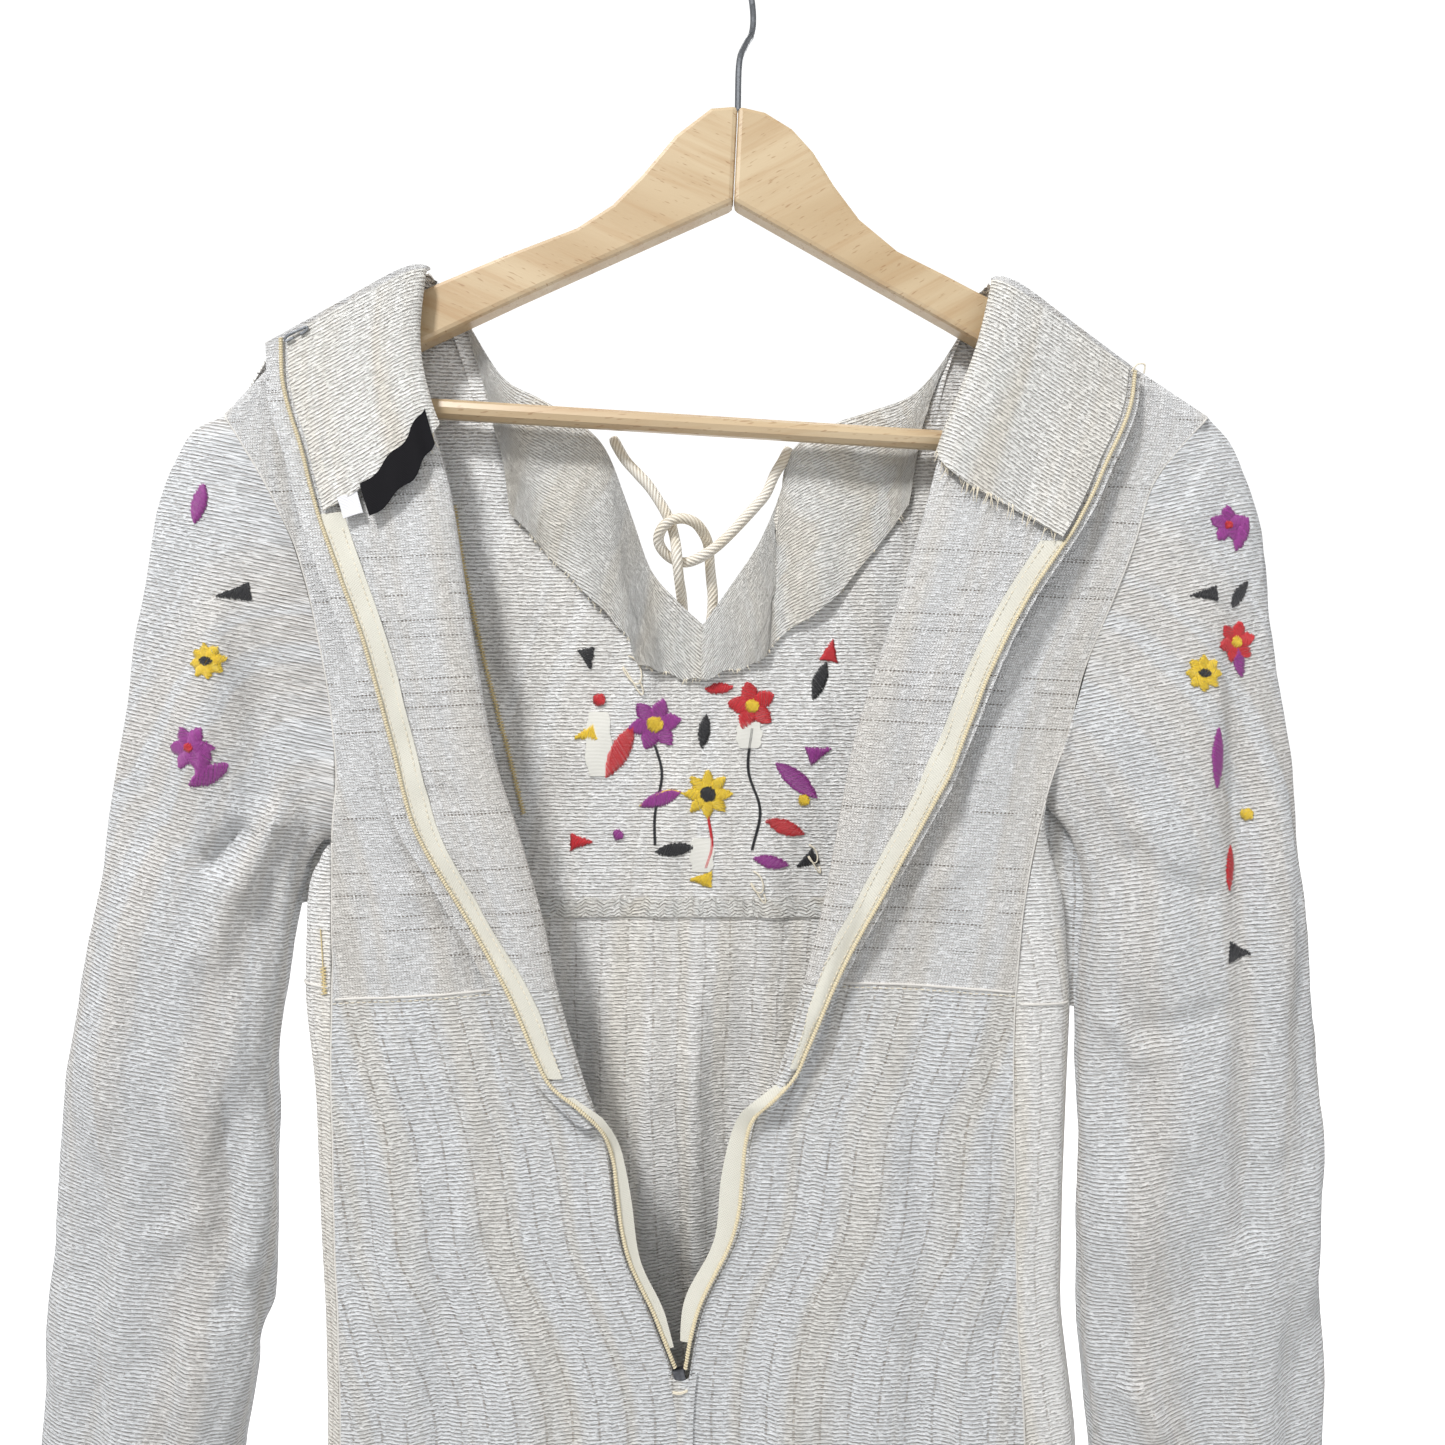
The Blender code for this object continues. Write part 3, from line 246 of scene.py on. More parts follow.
LEFT_SLEEVE_CREASES = [Fold(*row) for row in (
    (-213, -402, -232, -440, 7, 4.4), (-232, -440, -246, -472, 8, 2.2),
    (-222, -340, -228, -400, 9, -1.8), (-226, -412, -244, -430, 6, -3.6),
    (-262, -280, -276, -420, 12, -2.0), (-240, -300, -246, -380, 9, 1.6),
    (-282, -440, -296, -560, 11, 1.8), (-226, -500, -232, -620, 8, 2.6),
    (-236, -530, -240, -640, 7, -2.2), (-262, -540, -272, -660, 11, -1.9),
    (-300, -580, -306, -760, 10, -2.0), (-252, -640, -258, -780, 9, 2.0),
    (-246, -595, -268, -606, 7, 1.5), (-284, -680, -290, -790, 11, 1.8),
    (-318, -700, -322, -800, 8, 1.6),
)]
RIGHT_SLEEVE_CREASES = [Fold(*row) for row in (
    (216, -236, 176, -306, 9, -3.2), (226, -240, 190, -300, 9, 2.2), (166, -320, 176, -390, 9, 1.8),
    (172, -392, 196, -430, 8, 2.4), (176, -420, 214, -446, 7, -2.0), (232, -310, 238, -600, 8, -3.4),
    (246, -330, 252, -560, 9, 1.8), (200, -440, 206, -560, 10, 1.6), (172, -500, 188, -520, 6, 2.6),
    (178, -512, 220, -500, 8, -1.8), (186, -560, 190, -700, 9, 1.8), (214, -580, 218, -720, 10, -1.8),
    (244, -600, 246, -760, 10, 1.6), (182, -672, 196, -694, 7, 2.4), (200, -700, 204, -790, 9, 1.6),
    (258, -640, 262, -790, 8, -1.6),
)]

# Embroidery, with places on the outline plane and turns in degrees.
Motif = namedtuple("Motif", "surface x z kind petals length width turn thread")
MOTIFS = [Motif(surface, *row) for surface, rows in {
    "front": [
        (-41.2, -366.2, "flower", 6, 13.5, 8.5, 10, "magenta"),
        (-41.2, -366.2, "disc", 0, 8.5, 8.5, 0, "yellow"),
        (7.4, -357.1, "flower", 5, 12.5, 8.5, 30, "red"),
        (7.4, -357.1, "disc", 0, 7.0, 7.0, 0, "yellow"),
        (-14.7, -401.2, "flower", 8, 12.5, 6.0, 0, "yellow"),
        (-14.7, -401.2, "disc", 0, 8.0, 8.0, 0, "black"),
        (-65.8, -393.2, "leaf", 0, 30.1, 10.0, 62, "red"),
        (18.9, -385.2, "leaf", 0, 28.1, 9.0, -40, "magenta"),
        (-48.8, -407.3, "leaf", 0, 22.1, 7.5, 20, "magenta"),
        (13.9, -414.3, "leaf", 0, 21.1, 7.5, -20, "red"),
        (-17.7, -378.2, "leaf", 0, 17.0, 6.0, 82, "black"),
        (-41.2, -430.3, "leaf", 0, 20.1, 6.5, 8, "black"),
        (7.4, -433.3, "leaf", 0, 19.1, 6.5, -12, "magenta"),
        (37.5, -354.1, "leaf", 0, 20.1, 7.0, 70, "black"),
        (-16.7, -349.1, "leaf", 0, 15.0, 5.5, 5, "red"),
        (-68.8, -354.1, "disc", 0, 6.5, 6.5, 0, "red"),
        (33.5, -404.3, "disc", 0, 6.0, 6.0, 0, "yellow"),
        (-59.8, -421.8, "disc", 0, 5.5, 5.5, 0, "magenta"),
        (-76.3, -371.7, "triangle", 0, 12.0, 9.0, 15, "yellow"),
        (41.5, -380.2, "triangle", 0, 13.0, 9.5, 200, "magenta"),
        (-73.8, -334.1, "triangle", 0, 11.0, 9.0, 100, "black"),
        (46.5, -329.0, "triangle", 0, 12.0, 9.0, 260, "red"),
        (-77.8, -425.3, "triangle", 0, 12.0, 9.0, 180, "red"),
        (34.5, -435.3, "triangle", 0, 12.0, 9.0, 30, "black"),
        (-18.7, -444.4, "triangle", 0, 12.0, 9.0, 0, "yellow"),
    ],
    "sleeve_left": [
        (-236.2, -305.4, "triangle", 0, 15.6, 9.2, 10, "black"),
        (-245.4, -337.1, "flower", 8, 8.7, 5.1, 10, "yellow"),
        (-245.4, -337.1, "disc", 0, 6.0, 4.1, 0, "black"),
        (-252.3, -377.1, "flower", 6, 11.0, 6.9, 0, "magenta"),
        (-252.3, -377.1, "disc", 0, 4.6, 4.6, 0, "red"),
        (-253.2, -394.6, "leaf", 0, 20.2, 8.3, 30, "magenta"),
        (-248.6, -390.9, "leaf", 0, 16.6, 6.9, 75, "magenta"),
        (-255.1, -272.3, "leaf", 0, 20.2, 7.4, 80, "magenta"),
    ],
    "sleeve_right": [
        (216.3, -305.8, "triangle", 0, 14.7, 7.4, 5, "black"),
        (215.4, -342.6, "flower", 8, 8.7, 5.1, 0, "yellow"),
        (215.4, -342.6, "disc", 0, 6.0, 4.1, 0, "black"),
        (220.5, -396.4, "leaf", 0, 29.4, 6.4, 88, "magenta"),
        (227.8, -443.4, "leaf", 0, 21.2, 5.5, 86, "red"),
        (232.9, -472.3, "triangle", 0, 12.0, 10.1, 175, "black"),
        (230.6, -272.3, "flower", 5, 9.2, 6.4, 20, "magenta"),
        (230.6, -272.3, "disc", 0, 4.1, 4.1, 0, "red"),
        (233.8, -285.1, "leaf", 0, 17.5, 6.0, 70, "magenta"),
        (233.4, -327.5, "flower", 6, 10.1, 6.9, 15, "red"),
        (233.4, -327.5, "disc", 0, 5.5, 5.5, 0, "yellow"),
        (230.6, -311.8, "leaf", 0, 15.6, 5.5, 55, "black"),
        (236.1, -344.0, "leaf", 0, 14.7, 5.5, 100, "magenta"),
        (238.0, -408.4, "disc", 0, 5.5, 5.5, 0, "yellow"),
    ],
}.items() for row in rows]
# Stems between the motifs, each with its thread.
STEMS = [
    ("black", [(-41.2, -376.7), (-37.7, -391.7), (-41.2, -411.8), (-41.2, -426.8)]),
    ("red", [(-14.7, -411.8), (-12.7, -426.8), (-15.7, -438.4)]),
    ("black", [(7.4, -368.2), (5.4, -389.2), (11.4, -409.3), (7.4, -429.3)]),
    ("yellow", [(-48.8, -407.3), (-34.7, -399.2), (-23.7, -402.3)]),
]
# Allowances with an overlocked edge: the surface, the route along it and half its width.
OVERLOCKS = [
    ("front", [(-138.8, -259.4), (-134.9, -286.2), (-129.5, -315.4), (-125.1, -338.8), (-115.9, -373.9),
               (-107.1, -412.0)], 1.5),
    ("front", [(94.5, -324.9), (92.1, -344.5), (90.6, -364.2), (92.6, -384.8)], 1.5),
    ("front", [(-196.4, -462.6), (-195.4, -477.0), (-194.4, -493.8)], 1.5),
]
# What is left of the backing behind the embroidery, by two corners.
BACKINGS = [
    ((-75.8, -360.1), (-62.8, -392.2)),
    ((-0.6, -365.1), (12.4, -378.2)),
    ((-23.7, -423.3), (-11.7, -440.4)),
]
# Short seams across the side panels, as lines of X and Z.
SIDE_PANEL_SEAMS = [[(132.5, -498.0), (158.5, -499.0)], [(-207.5, -489.0), (-192.5, -490.0)]]
# Loose loops of thread: the surface, X, Z and the reach of the loop.
LOOSE_THREADS = [
    ("back_right", 138.0, -288.0, 4.5), ("front", -54.0, -338.0, 7.0), ("front", 36.0, -430.0, 4.0),
    ("back_right", 133.0, -296.0, 3.5), ("front", 8.0, -444.0, 5.0),
]
# Soft folds of the underarm that close the gap between body and sleeve, by their corners.
UNDERARMS = [("left", -216.0, -192.0, -408.0, -454.0), ("right", 143.0, 167.5, -394.0, -504.0)]


def cubic(before, start, end, after, share):
    """A smooth curve's points between start and end, given the keys on either side of them."""
    start_slope = (end - before) / 2
    end_slope = (after - start) / 2
    ease = 2 * share**3 - 3 * share**2 + 1
    return (
        ease * start
        + (share**3 - 2 * share**2 + share) * start_slope
        + (1 - ease) * end
        + (share**3 - share**2) * end_slope
    )


def smooth(keys, at):
    """Reads a smooth curve through the keys, evenly numbered from 0, at many places."""
    keys, at = np.asarray(keys, float), np.asarray(at, float)
    last = len(keys) - 1
    first = np.clip(at.astype(int), 0, last - 1)
    share = (at - first).reshape(at.shape + (1,) * (keys.ndim - 1))
    longer = np.concatenate([[2 * keys[0] - keys[1]], keys, [2 * keys[last] - keys[last - 1]]])
    return cubic(*(longer[first + k] for k in range(4)), share)


def smooth_across(sections, at):
    """Reads each point's own section, a row of keys, at that point's place."""
    last = sections.shape[1] - 1
    first = np.clip(at.astype(int), 0, last - 1)
    before = 2 * sections[:, :1] - sections[:, 1:2]
    after = 2 * sections[:, last:] - sections[:, last - 1 : last]
    longer = np.concatenate([before, sections, after], axis=1)
    row = np.arange(len(at))
    return cubic(*(longer[row, first + k] for k in range(4)), (at - first)[:, None])


def run_along(points):
    """How far each point of a line lies from its start."""
    return np.concatenate([[0], np.cumsum(np.linalg.norm(np.diff(points, axis=0), axis=1))])


def along(points, count):
    """Evenly spaced points on a smooth curve through the given ones."""
    fine = smooth(points, np.linspace(0, len(points) - 1, 40 * len(points)))
    run = run_along(fine)
    places = np.linspace(0, run[-1], count)
    return np.stack([np.interp(places, run, fine[:, k]) for k in range(3)], axis=1)


def unit(vectors):
    return vectors / np.maximum(np.linalg.norm(vectors, axis=-1, keepdims=True), 1e-9)


def normals(grid, wraps=False):
    """The side of a grid that faces away from its rows' and columns' turn."""
    if wraps:
        down = np.gradient(grid, axis=0)
        across = (np.roll(grid, -1, axis=1) - np.roll(grid, 1, axis=1)) / 2
    else:
        down, across = np.gradient(grid, axis=(0, 1))
    return unit(np.cross(across, down))


def fold_height(folds, x, z):
    """How high the folds stand at each place, towards the viewer."""
    total = np.zeros_like(x)
    for fold in folds:
        run_x, run_z = fold.x1 - fold.x0, fold.z1 - fold.z0
        length = math.hypot(run_x, run_z)
        off_x, off_z = x - fold.x0, z - fold.z0
        share = (off_x * run_x + off_z * run_z) / length**2
        across = abs(off_x * run_z - off_z * run_x) / length
        fade = np.clip(share, 0.0, 1.0)
        ends = np.exp(-(((share - fade) * length / fold.width) ** 2))
        rise = np.minimum(1.0, 4 * fade + 0.15)
        total += fold.height * rise * ends * np.exp(-((across / fold.width) ** 2))
    return total


def make_crinkle(seed):
    """Waves of many directions and lengths, for cloth that was washed and never pressed."""
    rng = np.random.default_rng(seed)
    waves = []
    for wave_length, height in ((70, 0.55), (44, 0.40), (29, 0.26), (19, 0.17), (12, 0.09)):
        for _ in range(5):
            turn = rng.uniform(0, math.pi)
            waves.append((math.cos(turn) * 2 * math.pi / wave_length,
                          math.sin(turn) * math.pi / wave_length,
                          rng.uniform(0, 2 * math.pi), height))

    def crinkle(x, z):
        total = np.zeros_like(x)
        for across, down, start, height in waves:
            total += height * np.sin(across * x + down * z + start)
        return total / 2

    return crinkle


BACK_CRINKLE = make_crinkle(3)
FRONT_CRINKLE = make_crinkle(8)
SLEEVE_CRINKLE = make_crinkle(14)

Half = namedtuple("Half", "side rows way strip")
LEFT = Half("left", LEFT_HALF, 1, 9.0)
RIGHT = Half("right", RIGHT_HALF, -1, 4.0)


def crest(drop, room):
    """How far the cloth stands off where it has dropped this far over the hanger's top."""
    share = np.clip(drop / CREST_DROP, 0.0, 1.0)
    return room * np.sqrt(1 - (1 - share) ** 2)


def half_sections(half, t):
    """The key points of the sections of a back half, from its side seam to the turned edge."""
    side_x, side_z, mid_x, mid_z, roll_x, roll_z, edge_x, edge_z, back_y, out_y = smooth(half.rows, t).T
    depth = crest(half.rows[0].mid_z - mid_z, SHOULDER_ROOM) / SHOULDER_ROOM
    near_y = -0.6 + (back_y + 0.6) * depth
    turned = abs(edge_x - roll_x)
    reach = np.minimum(9.0, 0.35 * turned)
    roll_y = (back_y + out_y) / 2 * (0.35 + 0.65 * depth)
    lifted = EDGE_LIFT * np.sin(math.pi * np.clip((t - 0.5) / 9.5, 0, 1))
    near_edge = np.stack([edge_x, out_y + 1.5 - lifted, edge_z], axis=-1)
    begin_z = roll_z + (edge_z - roll_z) * reach / np.maximum(turned, 1.0)
    begin = np.stack([roll_x - half.way * reach, out_y - 1.0, begin_z], axis=-1)
    middle = (begin + near_edge) / 2
    middle[:, 1] = out_y
    near_z = roll_z + 0.12 * (mid_z - roll_z)
    keys = [
        np.stack([side_x, near_y + 0.6 * depth, side_z], axis=-1),
        np.stack([mid_x, near_y, mid_z], axis=-1),
        np.stack([roll_x - half.way * 10.0, near_y, near_z], axis=-1),
        np.stack([roll_x, roll_y, roll_z], axis=-1),
        begin, middle, near_edge,
    ]
    return np.stack(keys, axis=1)


def half_points(half, t, s, relief=1.0):
    """Points of a back half: t counts its sections and s its key points."""
    t, s = np.broadcast_arrays(np.asarray(t, float), np.asarray(s, float))
    shape = t.shape
    t, s = t.ravel(), s.ravel()
    points = smooth_across(half_sections(half, t), s)
    x, z = points[:, 0].copy(), points[:, 2].copy()
    outer = np.clip((KEY_NEAR - s) * 2, 0, 1)
    turned = np.clip((s - KEY_BEGIN) * 1.5, 0, 1)
    shoulder = np.clip(t / 1.5, 0, 1)
    drop = np.where(s < KEY_NEAR, outer * fold_height(BACK_FOLDS, x, z), 0)
    drop += FOLD_DEPTH * relief * outer * shoulder * fold_height(BACK_CREASES, x, z)
    drop += FOLD_DEPTH * relief * turned * shoulder * fold_height(LAPEL_CREASES, x, z)
    drop += CRINKLE_DEPTH * relief * (outer + 0.8 * turned) * shoulder * BACK_CRINKLE(x, z)
    points[:, 1] -= drop
    return points.reshape(shape + (3,))


def edge_share(half, t, distance):
    """The place across, in key points, that lies this far inside the turned edge."""
    section = half_sections(half, np.atleast_1d(np.asarray(t, float)))
    turned = np.linalg.norm(section[:, KEY_EDGE] - section[:, KEY_BEGIN], axis=1)
    return KEY_EDGE - (KEY_EDGE - KEY_BEGIN) * np.minimum(distance / np.maximum(turned, 1.0), 0.98)


def raised(half, t, s, height):
    """Points above the wrong side of a back half."""
    t, s = np.broadcast_arrays(np.asarray(t, float), np.asarray(s, float))
    step, last = 0.02, len(half.rows) - 1
    below, above = np.minimum(t + step, last), np.maximum(t - step, 0)
    down = half_points(half, below, s) - half_points(half, above, s)
    base = half_points(half, t, s)
    across = half_points(half, t, np.minimum(s + step, KEY_EDGE)) - half_points(half, t, s - step)
    return base + half.way * unit(np.cross(across, down)) * np.asarray(height)[..., None]


def coil_points(half, t):
    """The middle of a zip coil, on the turned cloth and then on the open edge."""
    on_cloth = raised(half, t, edge_share(half, t, half.strip), CLOTH / 2 + COIL / 2 + 0.35)
    on_edge = half_points(half, t, np.full_like(t, KEY_ROLL))
    on_edge = on_edge + np.array([half.way * 2.5, -1.3, 0.0])
    share = np.clip((t - 10.1) / 1.0, 0.0, 1.0)
    share = (share * share * (3 - 2 * share))[:, None]
    lifted = on_cloth * (1 - share) + on_edge * share
    lifted[:, 1] -= 3.2 * np.sin(math.pi * share[:, 0])
    return lifted


def softened(value, heights, values, reach):
    """Reads a table along a height, rounded over its corners."""
    total = 0
    for shift, weight in ((-1, 0.25), (0, 0.5), (1, 0.25)):
        total = total + weight * np.interp(value + shift * reach, heights, values)
    return total


def front_depth(z):
    """Depth of the front's middle, which bows away from the hanger."""
    heights = [150, 230, 300, 400, 470, 560, 700, 914]
    depths = [8.6, 12.5, 16.0, 23.0, 27.0, 29.0, 31.0, 34.0]
    return softened(-z, heights, depths, 20)


def front_side(z, left):
    """Where the front's own edge is at a height: the armhole, then the outline below it."""
    half = LEFT_HALF if left else RIGHT_HALF
    xs = [row.side_x for row in half[: ARMPIT_ROW + 1]]
    zs = [-row.side_z for row in half[: ARMPIT_ROW + 1]]
    xs += [point.left_x if left else point.right_x for point in BODY_EDGE]
    zs += [-point.z for point in BODY_EDGE]
    return softened(-z, zs, xs, 9)


def border_at(c):
    """The front's top border, smooth between its corners: the shoulder points and the slit's foot."""
    c = np.asarray(c, float)
    found = np.zeros(c.shape + (5,))
    for first, last in zip(BORDER_CORNERS, BORDER_CORNERS[1:]):
        inside = (c >= first) & (c <= last)
        found[inside] = smooth(FRONT_BORDER[first : last + 1], c[inside] - first)
    return found


def front_points(c, t):
    """Points of the front: c counts its border points and t runs from the border to the hem."""
    c, t = np.broadcast_arrays(np.asarray(c, float), np.asarray(t, float))
    x0, z0, y0, hem_x, _ = np.moveaxis(border_at(c), -1, 0)
    z = z0 + (FRONT_HEM_Z - z0) * t
    x = x0 + (hem_x - x0) * t
    share = c / (len(FRONT_BORDER) - 1)
    left0, right0 = FRONT_BORDER[0], FRONT_BORDER[-1]
    edge_z = left0.z + (FRONT_HEM_Z - left0.z) * t
    x = x + (1 - share) ** 2 * (front_side(edge_z, True) - left0.x - (left0.hem_x - left0.x) * t)
    x = x + share**2 * (front_side(edge_z, False) - right0.x - (right0.hem_x - right0.x) * t)
    bow = 1 - abs(2 * share - 1) ** 5
    side_y = 8.6 - 3.0 * np.minimum(1.0, 3 * t)
    middle = side_y + (front_depth(z) - side_y) * bow
    drop = np.minimum((z0 - z) / CREST_DROP, 1.0)
    rounded = y0 + (middle - y0) * np.sqrt(np.maximum(0.0, 1 - (1 - drop) ** 2))
    easy = y0 + (middle - y0) * np.minimum(1.0, (z0 - z) / 60)
    y = np.where(y0 > 5, easy, rounded)
    fade = np.minimum(1.0, 8 * np.minimum(share, 1 - share)) * np.minimum(1.0, (z0 - z) / 30)
    rise = fold_height(FRONT_FOLDS, x, z) + FOLD_DEPTH * fold_height(FRONT_CREASES, x, z)
    rise += CRINKLE_DEPTH * FRONT_CRINKLE(x, z)
    return np.stack([x, y - fade * rise, z], axis=-1)


def seam_share(c):
    """Where the empire seam crosses the front's columns, from 0 at the border to 1 at the hem."""
    z0 = border_at(c)[..., 1]
    return (FRONT_SEAM_Z - z0) / (FRONT_HEM_Z - z0)


# The front's way round to the back's side seam: shares of the way, each with its depth.
WRAP = [(0.62, -8.8), (0.2, -4.0)]
WRAP_GAP = 0.9
WRAP_STEPS = 12


def wrap_grid(edge, half):
    """The columns of a front's grid that run round to the back's side seam, from that seam."""
    heights = [-row.side_z for row in half.rows]
    seam_x = softened(-edge[:, 2], heights, [row.side_x for row in half.rows], 6)
    seam_y = softened(-edge[:, 2], heights, [row.back_y for row in half.rows], 6) + 0.6
    room = seam_x - edge[:, 0]
    keys = [np.stack([seam_x - np.copysign(WRAP_GAP, room), seam_y, edge[:, 2]], axis=-1)]
    for share, depth in WRAP:
        keys.append(np.stack([edge[:, 0] + room * share, np.full_like(room, depth), edge[:, 2]], axis=-1))
    keys.append(edge)
    places = np.linspace(0, len(keys) - 1, WRAP_STEPS + 1)[:-1]
    return np.moveaxis(smooth(np.array(keys), places), 0, 1)


def front_grid(c, t_of):
    """A grid of the front with its wraps to both side seams."""
    rows = front_points(c[None, :], t_of)
    left = wrap_grid(rows[:, 0], LEFT)
    right = wrap_grid(rows[:, -1], RIGHT)[:, ::-1]
    return np.concatenate([left, rows, right], axis=1)


def sleeve_keys(half, rings):
    """A sleeve's rings of few points, from the back's armhole down."""
    quarter = 10
    count = 2 * quarter
    numbers = np.arange(count)
    t = ARMPIT_ROW * np.where(numbers <= quarter, numbers, count - numbers) / quarter
    first = half_points(half, t, np.zeros(count), relief=0.0)
    first[numbers > quarter, 1] = 1.2 - first[numbers > quarter, 1]
    first[:, 0] -= half.way * (CLOTH / 2 + 0.25)
    first[0, 2] += 0.35
    first[[0, quarter], 1] = 0.0
    keys = [first]
    angle = 2 * math.pi * numbers / count
    swell = np.copysign(abs(np.sin(angle)) ** 0.8, np.sin(angle))
    for ring in rings:
        outer = np.array([ring.out_x, ring.middle_y, ring.out_z])
        inner = np.array([ring.in_x, ring.middle_y, ring.in_z])
        line = (outer + inner) / 2 + (outer - inner) / 2 * np.cos(angle)[:, None]
        line[:, 1] -= ring.half_depth * swell
        line[:, 1] += np.where(numbers < quarter, ring.dent * np.sin(2 * angle) ** 2, 0)
        keys.append(line)
    return np.array(keys)


def round_about(keys, count):
    """Rings of few points read at many, smooth all the way round."""
    size = keys.shape[1]
    looped = np.concatenate([keys[:, -1:], keys, keys[:, :2]], axis=1)
    places = 1 + np.arange(count) * size / count
    return np.moveaxis(smooth(np.moveaxis(looped, 1, 0), places), 0, 1)


def linear(hex_colour):
    """An sRGB hex colour as the linear values that a shader takes."""
    parts = [int(hex_colour[i : i + 2], 16) / 255 for i in (1, 3, 5)]
    return tuple(p / 12.92 if p <= 0.04045 else ((p + 0.055) / 1.055) ** 2.4 for p in parts)


def add_node(tree, kind, links=None, **settings):
    """Adds a node, sets its properties, and links or sets its inputs by name or number.

    What comes into an input is a socket, a node whose first output is meant, a hex colour or a value.
    """
    node = tree.nodes.new(kind)
    for name, value in settings.items():
        setattr(node, name, value)
    for socket, source in (links or {}).items():
        if isinstance(source, bpy.types.Node):
            source = source.outputs[0]
        if isinstance(source, bpy.types.NodeSocket):
            tree.links.new(source, node.inputs[socket])
        else:
            colour = isinstance(source, str) and source.startswith("#")
            node.inputs[socket].default_value = (*linear(source), 1.0) if colour else source
    return node


def new_material(name, roughness, **values):
    """A material, and the call that adds a node to it. An underscore stands for a space."""
    material = bpy.data.materials.new(name)
    material.use_nodes = True
    inputs = material.node_tree.nodes["Principled BSDF"].inputs
    inputs["Roughness"].default_value = roughness
    for socket, value in values.items():
        inputs[socket.replace("_", " ")].default_value = value
    return material, partial(add_node, material.node_tree)


def dressed(material, colour, height, strength, distance):
    """Gives a material its colour and its relief, with the relief's distance in metres."""
    tree = material.node_tree
    inputs = tree.nodes["Principled BSDF"].inputs
    tree.links.new(colour, inputs["Base Color"])
    links = {"Height": height, "Strength": strength, "Distance": distance}
    tree.links.new(add_node(tree, "ShaderNodeBump", links).outputs[0], inputs["Normal"])
    return material


def weave_place(node, scale):
    """The cloth's own place, across and along the weave, in millimetres times scale."""
    links = {"Vector": node("ShaderNodeUVMap", uv_map="weave"), "Scale": [1000 * s for s in scale] + [1.0]}
    return node("ShaderNodeMapping", links)


def spots(node, scale, detail=2.0, roughness=0.5):
    """Uneven spots in the weave. Scale gives how many to a millimetre, across and along."""
    links = {"Vector": weave_place(node, scale), "Scale": 1.0, "Detail": detail, "Roughness": roughness}
    return node("ShaderNodeTexNoise", links, noise_dimensions="2D")


WAVE_PERIOD = 0.31416  # the wave texture's own length


def threads(node, pitch, direction="X", distortion=0.4, turn=0.0, **more):
    """Even threads in the weave, one for each pitch in millimetres, gently bent, at a turn."""
    place = weave_place(node, (WAVE_PERIOD / pitch, WAVE_PERIOD / pitch))
    if turn:
        place = node("ShaderNodeMapping", {"Vector": place, "Rotation": (0, 0, turn)})
    links = {"Vector": place, "Scale": 1.0, "Distortion": distortion}
    links.update({socket.replace("_", " "): value for socket, value in more.items()})
    return node("ShaderNodeTexWave", links, bands_direction=direction).outputs["Fac"]


MATH, RANGE, MIX = "ShaderNodeMath", "ShaderNodeMapRange", "ShaderNodeMix"
SMOOTH = {"interpolation_type": "SMOOTHSTEP"}
COLOURS = {"data_type": "RGBA"}  # the kind of mixture, whose colour is output 2
RIB_PITCH = 1.75  # mm between the crinkled weft ribs
GRID_PITCH = 1.3  # mm between the threads of the even bodice weave
SLUB_PITCH = 13.0  # mm between the slub ends that show as dotted lines along the cloth
DASH_PITCH = 1.9  # mm between the dashes where picks are left out
GAP_COLOUR = "#87786A"  # the shadow between two threads


